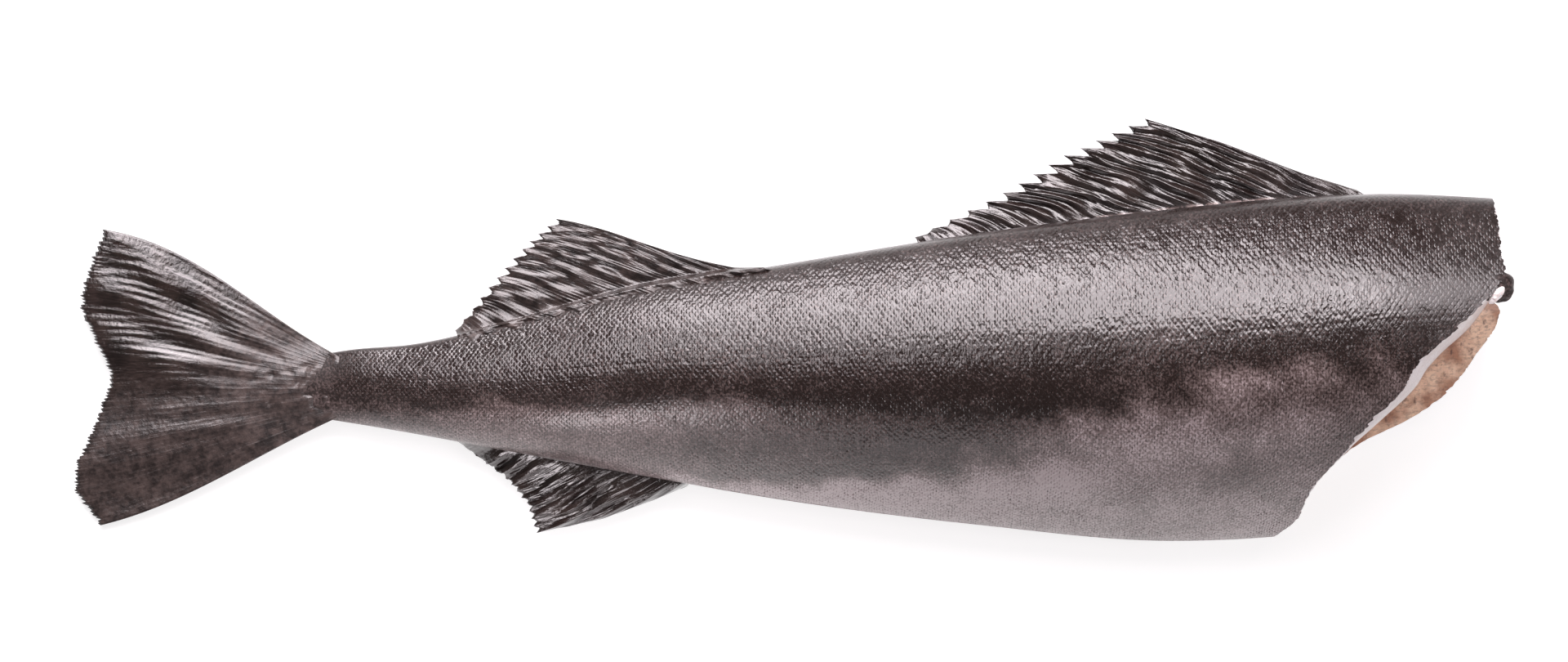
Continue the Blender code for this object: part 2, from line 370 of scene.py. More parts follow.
@dataclass
class BodyForm:
    """Form of the trunk and tail stalk: station curves, sections, cut end and cavity.

    t is a share of the depth, 0 at the belly edge and 1 at the back edge.
    """

    belly_fullness: float = 0.64
    back_fullness: float = 0.52
    trunk_widest: float = 0.532     # share at which the trunk, and then the stalk, is thickest
    stalk_widest: float = 0.45
    trunk: Change = Change(-105.0, -45.0)           # from stalk to trunk along the body
    back_drop: float = 0.70         # fall of the flat upper flank, as a share of the half thickness
    back_corner: float = 60.0       # power that rounds the blunt back edge
    slit: Change = Change(-44.0, -30.0, 0.9)        # half width of the belly slit, and its reach upwards
    slit_top: Change = Change(0.3, 0.2)
    wall: float = 4.4               # from skin to lining at the belly edge and at the cavity's top
    loin_wall: float = 23.0
    belly_corner_x: float = 204.0   # the two corners of the cut
    nape_x: float = 291.5
    rag: float = 0.85               # uneven edge that the knife left, as heights and sizes of waves
    rag_waves: tuple[Pair, ...] = ((1.0, 5.0), (0.5, 1.9), (0.3, 0.8))
    corner_reach: float = 0.04      # share of the depth over which the rag fades at both corners
    cut_rounds: int = 40
    lateral_share: float = 0.55     # where the way over the flank starts
    arc_x: Array = field(init=False)
    arc_t: Array = field(init=False)
    arc_table: Array = field(init=False)

    def __post_init__(self) -> None:
        """Measures the way over the near flank at close stations, from the belly edge."""
        self.arc_x = np.linspace(STATIONS[0, 0], STATIONS[-1, 0], 160)
        self.arc_t = 0.5 - 0.5 * np.cos(np.linspace(0.0, math.pi, 500))
        x, t = np.meshgrid(self.arc_x, self.arc_t, indexing="ij")
        steps = np.linalg.norm(np.diff(self.surface(x, t, Side.NEAR)[..., 1:], axis=1), axis=-1)
        self.arc_table = np.concatenate((np.zeros((len(self.arc_x), 1)), np.cumsum(steps, axis=1)), axis=1)

    def belly_y(self, x: Array) -> Array:
        """Height y of the belly edge."""
        return smooth_curve(STATIONS, 2, x)

    def depth(self, x: Array) -> Array:
        """Depth from the belly edge to the back edge."""
        return smooth_curve(STATIONS, 1, x) - self.belly_y(x)

    def widest(self, x: Array) -> Array:
        """Share of the depth at which the section is thickest."""
        return self.stalk_widest + (self.trunk_widest - self.stalk_widest) * self.trunk.at(x)

    def mid_height(self, x: Array, t: Array) -> Array:
        """Height midway between the flanks: it rises from the belly edge as a quarter sine.

        Args:
            x: stations.
            t: shares of the depth.

        Returns:
            The heights z.
        """
        rise = np.sin(0.5 * math.pi * np.clip(t / (self.widest(x) - 0.032), 0.0, 1.0))
        belly_z = smooth_curve(STATIONS, 5, x)
        return belly_z + (smooth_curve(STATIONS, 4, x) - belly_z) * rise

    def half_thickness(self, x: Array, t: Array) -> Array:
        """Half thickness of the section.

        Below the peak it is the sine of π t^w raised to a power, where w puts the peak at the
        widest share.  Above it, with s from 0 at the peak to 1 at the back edge, it is
        1 - drop s², times sqrt(1 - s^corner) for the blunt edge.

        Args:
            x: stations.
            t: shares of the depth.

        Returns:
            The half thickness, 0 at both edges.
        """
        widest = self.widest(x)
        power = self.belly_fullness + (self.back_fullness - self.belly_fullness) * t
        bent = np.clip(t, 0.0, 1.0) ** (math.log(0.5) / np.log(widest))
        round_part = np.abs(np.sin(math.pi * bent)) ** power
        s = np.clip((t - widest) / (1.0 - widest), 0.0, 1.0)
        flat_part = (1.0 - self.back_drop * s * s) * np.sqrt(1.0 - s ** self.back_corner)
        section = np.where(s > 0.0, flat_part, round_part)
        return smooth_curve(STATIONS, 3, x) * np.where((t <= 0.0) | (t >= 1.0), 0.0, section)

    def height(self, x: Array, t: Array, side: Side) -> Array:
        """Height z of a flank above the table, which flattens the far one."""
        half = np.maximum(self.half_thickness(x, t), self.slit.at(x) * self.slit_top.at(t))
        return np.maximum(self.mid_height(x, t) + side.value * half, 0.0)

    def surface(self, x: Array, t: Array, side: Side) -> Array:
        """Place on a flank: y goes evenly with t, z is the flank's height."""
        return np.stack((x, self.belly_y(x) + t * self.depth(x), self.height(x, t, side)), axis=-1)

    def normal(self, x: Array, t: Array, side: Side) -> Array:
        """Unit normal of a flank: the cross product of two short differences on the surface.

        Args:
            x: stations.
            t: shares of the depth.
            side: which flank.

        Returns:
            Normals that point out of the body.
        """
        dx, dt = 0.5, 0.002
        along = self.surface(x + dx, t, side) - self.surface(x - dx, t, side)
        up = np.clip(t + dt, 0.0, 1.0)
        down = np.clip(t - dt, 0.0, 1.0)
        across = self.surface(x, up, side) - self.surface(x, down, side)
        out = np.cross(along, across) * side.value
        return out / np.linalg.norm(out, axis=-1, keepdims=True)

    def cut_x(self, t: Array, side: Side, rag: bool = True) -> Array:
        """The x at which the line of constant t meets the slanted cut, found by repeated reading.

        Args:
            t: shares of the depth.
            side: which skin edge.
            rag: whether the edge is a little uneven, as cut by a knife.

        Returns:
            The x of the edge.
        """
        cut = NEAR_CUT if side is Side.NEAR else FAR_CUT
        x = np.full_like(t, STATIONS[-1, 0])
        for _ in range(self.cut_rounds):
            y = self.belly_y(x) + t * self.depth(x)
            x = smooth_curve(cut, 1, y)
        ends = smooth_step(0.0, self.corner_reach, t) * smooth_step(1.0, 1.0 - self.corner_reach, t)
        corner = np.where(t < 0.5, self.belly_corner_x, self.nape_x)
        x = np.where((t <= 0.0) | (t >= 1.0), corner, x)
        if not rag:
            return x
        places = np.stack((y, np.full_like(y, FAR_OFFSET * side.value)), axis=-1)
        return x - self.rag * ends * np.abs(mixed_waves(places, 5, *self.rag_waves))

    def arc_from_belly(self, x: Array, t: Array) -> Array:
        """Way over the flank from the belly edge, read between the measured stations.

        It is a mean of the four measured ways around a place, weighted by nearness.

        Args:
            x: stations.
            t: shares of the depth.

        Returns:
            The way in millimetres.
        """
        i = np.clip(np.searchsorted(self.arc_x, x, side="right") - 1, 0, len(self.arc_x) - 2)
        j = np.clip(np.searchsorted(self.arc_t, t, side="right") - 1, 0, len(self.arc_t) - 2)
        a = np.clip((x - self.arc_x[i]) / (self.arc_x[i + 1] - self.arc_x[i]), 0.0, 1.0)
        b = np.clip((t - self.arc_t[j]) / (self.arc_t[j + 1] - self.arc_t[j]), 0.0, 1.0)
        table = self.arc_table
        low = table[i, j] * (1 - b) + table[i, j + 1] * b
        high = table[i + 1, j] * (1 - b) + table[i + 1, j + 1] * b
        return low * (1 - a) + high * a

    def arc(self, x: Array, t: Array) -> Array:
        """Way over the flank from the lateral line to a place."""
        return self.arc_from_belly(x, t) - self.arc_from_belly(x, np.full_like(t, self.lateral_share))

    def cavity(self, x: Array, share: Array, side: Side) -> Array:
        """Place on the cavity's wall: the flank moved in by the wall, rounded at the top.

        Args:
            x: stations.
            share: 0 at the belly slit, 1 at the cavity's top.
            side: the wall's flank.

        Returns:
            Places on the lining.
        """
        t = smooth_curve(CAVITY_TOP, 1, x) * share
        wall = self.wall + (self.loin_wall - self.wall) * share
        roof = self.height(x, t, Side.NEAR) - wall
        floor = self.height(x, t, Side.FAR) + wall
        rounding = np.sqrt(np.maximum(1.0 - share ** 4, 0.0))
        gap = np.maximum(0.5 * (roof - floor) * rounding, self.slit.at(x) * (share < 0.999))
        z = 0.5 * (roof + floor) + side.value * gap
        return np.stack((x, self.belly_y(x) + t * self.depth(x), z), axis=-1)


# ---------------------------------------------------------------- scales

@dataclass
class ScaleLattice:
    """Rows of overlapping scales, every other row moved by half a pitch, smaller on the stalk.

    a counts pitches along the fish towards the head, b counts rows across it.
    """

    trunk_pitch: float = 2.3        # length and width of one scale on trunk and stalk, in mm
    stalk_pitch: float = 1.95
    trunk_row: float = 1.6
    stalk_row: float = 1.27
    belly_row: float = 0.82         # how much closer the rows are below the lateral line
    trunk: Change = Change(-190.0, -10.0)           # from stalk to trunk along the body
    bulge: float = 0.60             # how far a scale's free edge bows towards the tail, in pitches
    lip: float = 0.23               # width of the pit before the free edge, in pitches
    pit: float = 0.85               # depth of the pit, fall of the dome along and across the scale
    fall_along: float = 0.6
    fall_across: float = 0.20
    top: float = 0.55               # place of the dome's top along the scale
    tilt: float = 0.95              # how far each scale leans its own way
    sides: Change = Change(0.3, 0.95)               # fade of the pit towards the sides of a scale
    wander: float = 0.10            # unevenness of the rows, and sizes of its waves along and across
    wander_sizes: Pair = (11.0, 14.0)
    pit_draw: Pair = (0.15, 1.7)    # depth of the faintest pit, what a draw adds, and its power
    draw_power: float = 1.5
    pit_uneven: Pair = (0.55, 26.0)                 # change of the pits by soft waves, and their size
    far_rows: float = 300.0         # rows between the two flanks, so that their draws differ

    def pitches(self, x: Array) -> Array:
        """Number of pitches up to a station: the sum of 1 / pitch along the body.

        Args:
            x: stations.

        Returns:
            The numbers, 0 at the end of the stalk.
        """
        xs = np.linspace(STATIONS[0, 0], STATIONS[-1, 0], 600)
        rate = 1.0 / (self.stalk_pitch + (self.trunk_pitch - self.stalk_pitch) * self.trunk.at(xs))
        total = np.concatenate(((0.0,), np.cumsum(0.5 * (rate[1:] + rate[:-1]) * np.diff(xs))))
        return np.interp(x, xs, total)

    def rows(self, x: Array, arc: Array) -> Array:
        """Number of rows from the lateral line, for a way over the flank."""
        way = np.where(arc < 0.0, arc / self.belly_row, arc)
        return way / (self.stalk_row + (self.trunk_row - self.stalk_row) * self.trunk.at(x))

    def place(self, x: Array, arc: Array, side: Side) -> tuple[Array, Array]:
        """Uneven place in pitches and rows.

        Args:
            x: stations.
            arc: way over the flank from the lateral line.
            side: which flank.

        Returns:
            Pitches a and rows b.
        """
        places = np.stack((x, arc), axis=-1)
        a = self.pitches(x) + self.wander * waves(places, self.wander_sizes[0], 18)
        b = self.rows(x, arc) + self.wander * waves(places, self.wander_sizes[1], 19)
        return a, b if side is Side.NEAR else b + self.far_rows

    def relief(self, a: Array, b: Array, pitted: Array) -> Array:
        """Height of the scales, 0 in the grooves to about 1 at the free edges.

        Of the two rows that cover a place, the scale whose middle lies further forward is on
        top.  u runs from 0 at its free edge to 1 where the next scale covers it.  The height is
        a dome, 1 less squares of the distances from its middle, less a short pit at the free
        edge, tilted a little for each scale.

        Args:
            a: pitches along the fish.
            b: rows across it.
            pitted: strength of the pits.

        Returns:
            The heights.
        """
        best_middle = np.full(a.shape, -1e9)
        best = np.zeros(a.shape)
        for step in (0.0, 1.0):
            row = np.floor(b) + step
            off = b - row
            shift = 0.5 * np.mod(row, 2.0)
            reach = a - shift + self.bulge * np.sqrt(np.maximum(1.0 - off * off, 0.0))
            middle = np.floor(reach)
            u = reach - middle
            draw, lean = (cell_draw(middle, row, salt) for salt in (DRAW_SALT, LEAN_SALT))
            dome = 1.0 - self.fall_along * (u - self.top) ** 2 - self.fall_across * off * off
            pit = self.pit * (1.0 - smooth_step(0.0, self.lip, u)) * self.sides.at(1.0 - off * off)
            pit = pit * pitted * (self.pit_draw[0] + self.pit_draw[1] * (draw + 0.5) ** self.draw_power)
            height = dome - pit + self.tilt * (draw * (u - 0.5) + lean * off)
            over = middle + shift > best_middle
            best = np.where(over, height, best)
            best_middle = np.where(over, middle + shift, best_middle)
        return best


# ---------------------------------------------------------------- helper for node materials

class Value:
    """Number or vector that comes out of a node; arithmetic on it adds math nodes."""

    def __init__(self, maker: NodeMaker, socket: bpy.types.NodeSocket) -> None:
        """Keeps the maker, which adds the next nodes, and the socket."""
        self.maker = maker
        self.socket = socket

    def __add__(self, other: Value | float) -> Value:
        """Sum of this and another value."""
        return self.maker.math("ADD", self, other)

    def __sub__(self, other: Value | float) -> Value:
        """This less another value."""
        return self.maker.math("SUBTRACT", self, other)

    def __rsub__(self, other: float) -> Value:
        """A number less this."""
        return self.maker.math("SUBTRACT", other, self)

    def __mul__(self, other: Value | float) -> Value:
        """Product of this and another value."""
        return self.maker.math("MULTIPLY", self, other)


class NodeMaker:
    """Adds nodes to one material and links them."""

    def __init__(self, name: str) -> None:
        """Starts a material with an empty tree and an output.

        Args:
            name: material name.
        """
        self.material = bpy.data.materials.new(name)
        self.material.use_nodes = True
        self.tree = self.material.node_tree
        self.tree.nodes.clear()
        self.output = self.add("ShaderNodeOutputMaterial")

    def add(self, kind: str, **settings: object) -> bpy.types.Node:
        """Adds a node and sets its properties.

        Args:
            kind: Blender's name of the node type.
            settings: properties by name.

        Returns:
            The node.
        """
        node = self.tree.nodes.new(kind)
        for key, value in settings.items():
            setattr(node, key, value)
        return node

    def put(self, socket: bpy.types.NodeSocket, value: object) -> None:
        """Links a socket to a value or sets its number.

        Args:
            socket: the input.
            value: what goes in.
        """
        if isinstance(value, Value):
            self.tree.links.new(value.socket, socket)
        else:
            socket.default_value = value

    def fill(self, node: bpy.types.Node, inputs: dict[int | str, object], output: int | str = 0) -> Value:
        """Fills sockets of a node, and gives one of its outputs.

        Args:
            node: the node.
            inputs: what goes in, by number or name.
            output: number or name of the output.

        Returns:
            What comes out.
        """
        for key, value in inputs.items():
            self.put(node.inputs[key], value)
        return Value(self, node.outputs[output])

    def math(self, operation: str, *values: Value | float) -> Value:
        """Math node of one or two values."""
        return self.fill(self.add("ShaderNodeMath", operation=operation), dict(enumerate(values)))

    def ramp(self, value: Value, low: float, high: float, start: float = 0.0, end: float = 1.0) -> Value:
        """Smooth step of a value from low to high, drawn to start and end."""
        node = self.add("ShaderNodeMapRange", interpolation_type="SMOOTHSTEP")
        return self.fill(node, dict(enumerate((value, low, high, start, end))))

    def mix(self, factor: Value, one: Value | Colour, two: Value | Colour) -> Value:
        """Mix of two colours."""
        one, two = ((*colour, 1.0) if isinstance(colour, tuple) else colour for colour in (one, two))
        return self.fill(self.add("ShaderNodeMix", data_type="RGBA"), {0: factor, 6: one, 7: two}, 2)

    def blend(self, factor: Value, one: Value, two: Value) -> Value:
        """Mix of two numbers."""
        return self.fill(self.add("ShaderNodeMix", data_type="FLOAT"), {0: factor, 2: one, 3: two})

    def noise(self, vector: Value, scale: float, detail: float, roughness: float) -> Value:
        """Noise texture value."""
        settings = {"Vector": vector, "Scale": scale, "Detail": detail, "Roughness": roughness}
        return self.fill(self.add("ShaderNodeTexNoise"), settings)

    def attribute(self, name: str) -> Value:
        """Number stored on the points of the mesh."""
        return self.fill(self.add("ShaderNodeAttribute", attribute_name=name), {}, "Fac")

    def map(self, name: str) -> Value:
        """Place on a UV map."""
        return self.fill(self.add("ShaderNodeUVMap", uv_map=name), {})

    def place(self) -> Value:
        """Object coordinates."""
        return self.fill(self.add("ShaderNodeTexCoord"), {}, "Object")

    def stretched(self, place: Value, scale: Triple) -> Value:
        """A place, stretched along the axes."""
        return self.fill(self.add("ShaderNodeMapping"), {"Vector": place, "Scale": scale})

    def split(self, vector: Value) -> tuple[Value, Value]:
        """The first two numbers of a vector."""
        node = self.add("ShaderNodeSeparateXYZ")
        return self.fill(node, {0: vector}), Value(self, node.outputs[1])

    def draw(self, first: Value, second: Value) -> Value:
        """Random number for each pair of numbers.

        Args:
            first: first number of the pair.
            second: second number.

        Returns:
            Value from 0 to 1.
        """
        pair = self.fill(self.add("ShaderNodeCombineXYZ"), {0: first, 1: second})
        noise = self.add("ShaderNodeTexWhiteNoise", noise_dimensions="2D")
        return self.fill(noise, {"Vector": pair}, "Value")

    def bump(self, height: Value, distance: float, strength: float) -> Value:
        """Bump normal from a height."""
        settings = {"Distance": distance, "Strength": strength, "Height": height}
        return self.fill(self.add("ShaderNodeBump"), settings)

    def finish(self, **sockets: object) -> bpy.types.Material:
        """Principled shader, linked to the output.

        Args:
            sockets: what goes in, by the socket's name with _ for each space.

        Returns:
            The finished material.
        """
        named = {key.replace("_", " "): value for key, value in sockets.items()}
        shader = self.fill(self.add("ShaderNodeBsdfPrincipled"), named)
        self.put(self.output.inputs["Surface"], shader)
        return self.material


@dataclass(frozen=True)
class SkinFinish:
    """Wet scaled skin: near black to lilac grey by the tone of the mesh, mottled and glossy, with painted
    shade in its scale pits.

    The scales are drawn from the map that holds pitches and rows, as in ScaleLattice: of the two
    rows over a place the scale further forward is on top, and its pit, darkened with painted shade,
    and its dome follow from the distance u behind its free edge.  A noise is given by its waves per
    metre, detail and roughness, and levels are the two values between which it rises from nothing to all.
    """

    name: str = "wet_scaled_skin"
    black: Colour = shade(33, 24, 22)
    dark: Colour = shade(74, 62, 60)
    middle: Colour = shade(121, 107, 106)
    pale: Colour = shade(174, 160, 162)
    to_dark: Pair = (0.0, 0.34)     # levels over which each colour gives way to the next
    to_middle: Pair = (0.30, 0.68)
    to_pale: Pair = (0.64, 1.0)
    bulge: float = 0.60
    lip: Pair = (0.22, 0.02)        # u over which the pit deepens
    pit_draw: Pair = (0.2, 1.5)     # depth of the faintest and of the deepest pit
    painted_pit_shade: Pair = (0.34, 0.46)  # painted shade in the pits, where wet and where dry
    dome_top: float = 0.55
    dome_fall: Pair = (-0.7, 0.25)  # along the scale and across it
    scale_sides: Pair = (0.3, 0.95)     # levels of the pit towards the sides of the scale
    clouds: Triple = (60.0, 5.0, 0.62)
    # specks stretched across the fish: partly fine mottling of the skin, partly painted glints off the scale
    # edges
    speckles: Triple = (520.0, 3.0, 0.6)
    speckle_stretch: Triple = (1.4, 0.8, 1.0)
    grain: Triple = (1000.0, 2.0, 0.55)
    grain_levels: Pair = (0.34, 0.68)
    pores: Triple = (1100.0, 3.0, 0.55)
    pore_height: float = 0.30
    dome_height: float = 0.5
    gloss_levels: Pair = (0.35, 0.7)
    cloud_share: float = 0.50       # how far clouds, speckles, grain and each scale change the level
    speckle_share: float = 0.55
    grain_share: float = 0.36
    scale_share: float = 0.12
    roughness: Pair = (0.13, 0.22)
    scale_roughness: float = 0.06   # added by each scale's draw, on dry and on plain skin
    dry_roughness: float = 0.20
    plain_roughness: float = 0.14
    bump: Pair = (0.00016, 0.8)     # distance in metres, strength
    specular_level: float = 0.5
    coat_weight: float = 0.6
    coat_roughness: float = 0.10
    coat_loss: float = 0.85         # share of the coat that plain skin lacks

    def lattice(self, make: NodeMaker) -> tuple[Value, Value, Value]:
        """Where a place lies on the scale that covers it.

        Args:
            make: the material's node maker.

        Returns:
            Distance u behind the free edge, distance from the scale's middle line, and its draw.
        """
        along, across = make.split(make.map("scales"))
        first = make.math("FLOOR", across)
        found = []
        for step in (0.0, 1.0):
            row = first + step
            off = across - row
            shift = make.math("FLOORED_MODULO", row, 2.0) * 0.5
            round_edge = make.math("SQRT", make.math("MAXIMUM", 1.0 - off * off, 0.0))
            reach = along - shift + round_edge * self.bulge
            middle = make.math("FLOOR", reach)
            found.append((reach - middle, off, middle, row, middle + shift))
        over = make.math("GREATER_THAN", found[1][4], found[0][4])
        u, off, middle, row = (make.blend(over, one, two) for one, two in zip(found[0][:4], found[1][:4]))
        return u, off, make.draw(middle, row)

    def material(self) -> bpy.types.Material:
        """Colour from tone, clouds, speckles and painted shade in the pits; gloss and bump from the scales.

        Returns:
            The material.
        """
        make = NodeMaker(self.name)
        place = make.place()
        tone, dry, plain = (make.attribute(name) for name in ("tone", "dry", "plain"))
        u, off, draw = self.lattice(make)
        pit = make.ramp(u, *self.lip) * make.ramp(1.0 - off * off, *self.scale_sides)
        pit = pit * make.ramp(draw, 0.0, 1.0, *self.pit_draw) * (1.0 - plain)
        from_top = u - self.dome_top
        dome = from_top * from_top * self.dome_fall[0] - off * off * self.dome_fall[1]
        clouds = make.noise(place, *self.clouds)
        # the specks are partly fine mottling of the skin and partly painted glints off the scale edges
        speckle = make.noise(make.stretched(place, self.speckle_stretch), *self.speckles)
        grain = make.ramp(make.noise(place, *self.grain), *self.grain_levels)
        level = tone
        for value, share in (
            (clouds, self.cloud_share), (speckle, self.speckle_share),
            (grain, self.grain_share), (draw, self.scale_share),
        ):
            level = level + (value - 0.5) * share
        # painted shade: the colour is darkened in the pits, more where the skin is dry
        level = level - pit * make.ramp(dry, 0.0, 1.0, *self.painted_pit_shade)
        colour = make.mix(make.ramp(level, *self.to_dark), self.black, self.dark)
        colour = make.mix(make.ramp(level, *self.to_middle), colour, self.middle)
        colour = make.mix(make.ramp(level, *self.to_pale), colour, self.pale)
        rough = make.ramp(clouds, *self.gloss_levels, *self.roughness) + draw * self.scale_roughness
        rough = rough + dry * self.dry_roughness + plain * self.plain_roughness
        pores = make.noise(place, *self.pores) * self.pore_height
        normal = make.bump(dome * self.dome_height - pit + pores, *self.bump)
        return make.finish(
            Base_Color=colour, Roughness=rough, Normal=normal, Specular_IOR_Level=self.specular_level,
            Coat_Weight=(1.0 - plain * self.coat_loss) * self.coat_weight,
            Coat_Roughness=self.coat_roughness, Coat_IOR=COAT_IOR, Coat_Normal=normal,
        )


@dataclass(frozen=True)
class FleshFinish:
    """Moist flesh at a cut, with noises and levels given as for the skin."""

    name: str = "moist_flesh"
    pale: Colour = (0.48, 0.43, 0.44)
    deep: Colour = (0.42, 0.345, 0.335)
    vein: Colour = (0.25, 0.13, 0.11)
    roughness: float = 0.32
    veins: float = 0.35             # strength of the fine threads and of the flecks
    grain: float = 0.25
    broad: Triple = (60.0, 4.0, 0.55)
    broad_levels: Pair = (0.38, 0.62)
    threads: Triple = (900.0, 3.0, 0.55)
    thread_levels: Pair = (0.58, 0.74)
    thread_stretch: Triple = (1.0, 0.35, 1.0)
    flecks: Triple = (800.0, 4.0, 0.65)
    fleck_levels: Pair = (0.44, 0.66)
    fleck_stretch: Triple = (0.6, 1.0, 1.0)
    bump: Pair = (0.0006, 0.5)      # distance in metres, strength
    glow: float = 0.15              # share of light that passes under the surface, and how far
    glow_reach: Triple = (0.004, 0.002, 0.0015)
    specular_level: float = 0.6
    coat_weight: float = 0.3
    coat_roughness: float = 0.12

    def material(self) -> bpy.types.Material:
        """Two colours mixed by noise, with flecks, fine darker threads and a glow from within.

        Returns:
            The material.
        """
        make = NodeMaker(self.name)
        place = make.place()
        broad = make.noise(place, *self.broad)
        fine = make.noise(make.stretched(place, self.thread_stretch), *self.threads)
        fleck = make.noise(make.stretched(place, self.fleck_stretch), *self.flecks)
        colour = make.mix(make.ramp(broad, *self.broad_levels), self.pale, self.deep)
        colour = make.mix(make.ramp(fleck, *self.fleck_levels, 0.0, self.grain), colour, self.vein)
        colour = make.mix(make.ramp(fine, *self.thread_levels, 0.0, self.veins), colour, self.vein)
        return make.finish(
            Base_Color=colour, Roughness=self.roughness, Normal=make.bump(broad + fine, *self.bump),
            Specular_IOR_Level=self.specular_level, Subsurface_Weight=self.glow,
            Subsurface_Radius=self.glow_reach, Subsurface_Scale=1.0,
            Coat_Weight=self.coat_weight, Coat_Roughness=self.coat_roughness,
        )


@dataclass(frozen=True)
class FinFinish:
    """Wet near black fin skin, with paler streaks along the rays and a pale pinkish seam at the root, partly
    its own colour and partly a painted highlight along the fold there.
    """

    black: Colour = shade(22, 15, 14)
    brown: Colour = shade(57, 46, 43)
    mottle: Colour = shade(80, 68, 65)
    # colour of the seam: pink skin at the root with a painted highlight of its fold
    seam: Colour = shade(190, 170, 166)
    streaks: Triple = (1.0, 6.0, 0.66)
    streak_stretch: Triple = (1.6, 0.22, 1.0)       # waves per mm across and along
    streak_levels: Pair = (0.40, 1.0)
    streak_speckle: float = 0.25    # how far the speckles change streaks and clouds
    cloud_speckle: float = 0.4
    speckles: Triple = (500.0, 3.0, 0.55)
    clouds: Triple = (160.0, 5.0, 0.7)
    lumps: Triple = (420.0, 4.0, 0.55)
    mottle_levels: Pair = (0.5, 0.95)
    seam_levels: Pair = (0.3, 0.6)
    gloss_levels: Pair = (0.35, 0.65)
    lump_height: float = 2.4        # against the streaks, which stand lower at the root
    streak_height: float = 0.8
    root_smoothing: float = 0.6
    bump: Pair = (0.00016, 0.6)     # distance in metres, strength
    roughness: Pair = (0.11, 0.20)
    root_roughness: float = 0.24
    specular_level: float = 0.7
    coat_weight: float = 1.0
    coat_roughness: float = 0.07
    coat_loss: float = 0.8          # share of the coat that the root lacks

    def material(self) -> bpy.types.Material:
        """Colour from streaks on the ray map, mottled root and seam; gloss and bump from noise.

        Returns:
            The material.
        """
        make = NodeMaker("wet_fin_skin")
        place = make.place()
        tone, root, seam = (make.attribute(name) for name in ("tone", "root", "seam"))
        streaks = make.noise(make.stretched(make.map("rays"), self.streak_stretch), *self.streaks)
        speckle = make.noise(place, *self.speckles)
        clouds = make.noise(place, *self.clouds) + speckle * self.cloud_speckle
        paler = make.ramp(streaks + tone + speckle * self.streak_speckle, *self.streak_levels)
        streaked = make.mix(paler, self.black, self.brown)
        mottled = make.mix(make.ramp(clouds, *self.mottle_levels), self.black, self.mottle)
        colour = make.mix(root, streaked, mottled)
        # the seam: pink skin at the root, with a painted highlight of its fold
        colour = make.mix(seam * make.ramp(speckle, *self.seam_levels), colour, self.seam)
        lines = streaks * (self.streak_height - root * self.root_smoothing)
        lumps = make.noise(place, *self.lumps) * self.lump_height
        normal = make.bump(lines + lumps, *self.bump)
        return make.finish(
            Base_Color=colour, Normal=normal, Specular_IOR_Level=self.specular_level,
            Roughness=make.ramp(streaks, *self.gloss_levels, *self.roughness) + root * self.root_roughness,
            Coat_Weight=(1.0 - root * self.coat_loss) * self.coat_weight,
            Coat_Roughness=self.coat_roughness, Coat_IOR=COAT_IOR, Coat_Normal=normal,
        )


# ---------------------------------------------------------------- scaled skin

# Pigment along the body, levels as on a screen; the pale rim along the belly edge is partly the
# belly's own colour and partly painted light that the floor throws onto that edge.  Columns: x, level
# of the dark side, share where the belly starts, half width of that change, level of the belly, share
# where the rim starts, half width of that change, level of the rim
PIGMENT_AND_PAINTED_RIM = np.array((
    (-200.0, 46.0, 0.30, 0.14, 74.0, 0.08, 0.06, 92.0),
    (-155.0, 40.0, 0.30, 0.12, 84.0, 0.06, 0.05, 104.0),
    (-122.0, 38.0, 0.37, 0.07, 104.0, 0.05, 0.04, 98.0),
    (-90.0, 38.0, 0.345, 0.04, 100.0, 0.05, 0.04, 104.0),
    (-20.0, 44.0, 0.41, 0.05, 84.0, 0.05, 0.04, 162.0),
    (15.0, 38.0, 0.39, 0.03, 72.0, 0.085, 0.05, 176.0),
    (50.0, 32.0, 0.385, 0.02, 66.0, 0.15, 0.07, 166.0),
    (85.0, 32.0, 0.37, 0.03, 60.0, 0.22, 0.11, 156.0),
    (118.0, 36.0, 0.38, 0.05, 116.0, 0.24, 0.10, 150.0),
    (152.0, 52.0, 0.43, 0.09, 138.0, 0.10, 0.08, 156.0),
    (190.0, 44.0, 0.49, 0.05, 128.0, 0.12, 0.10, 152.0),
    (250.0, 38.0, 0.49, 0.06, 88.0, 0.10, 0.08, 130.0),
    (300.0, 34.0, 0.48, 0.06, 76.0, 0.10, 0.08, 120.0),
))
# Clouds in the pigment: x, share, reach along in mm, reach across as a share, change of level
CLOUDS = (
    (112.0, 0.18, 15.0, 0.07, 34.0), (136.0, 0.27, 17.0, 0.06, 16.0), (88.0, 0.12, 22.0, 0.05, 18.0),
    (150.0, 0.05, 20.0, 0.04, -16.0), (186.0, 0.19, 12.0, 0.08, -22.0), (-62.0, 0.29, 12.0, 0.06, 20.0),
    (-92.0, 0.17, 9.0, 0.07, -16.0), (-34.0, 0.20, 10.0, 0.08, -18.0), (-16.0, 0.36, 12.0, 0.05, 12.0),
    (212.0, 0.34, 14.0, 0.07, 14.0), (60.0, 0.52, 30.0, 0.05, 10.0), (240.0, 0.60, 26.0, 0.10, -8.0),
    (198.0, 0.42, 44.0, 0.07, -20.0),
)


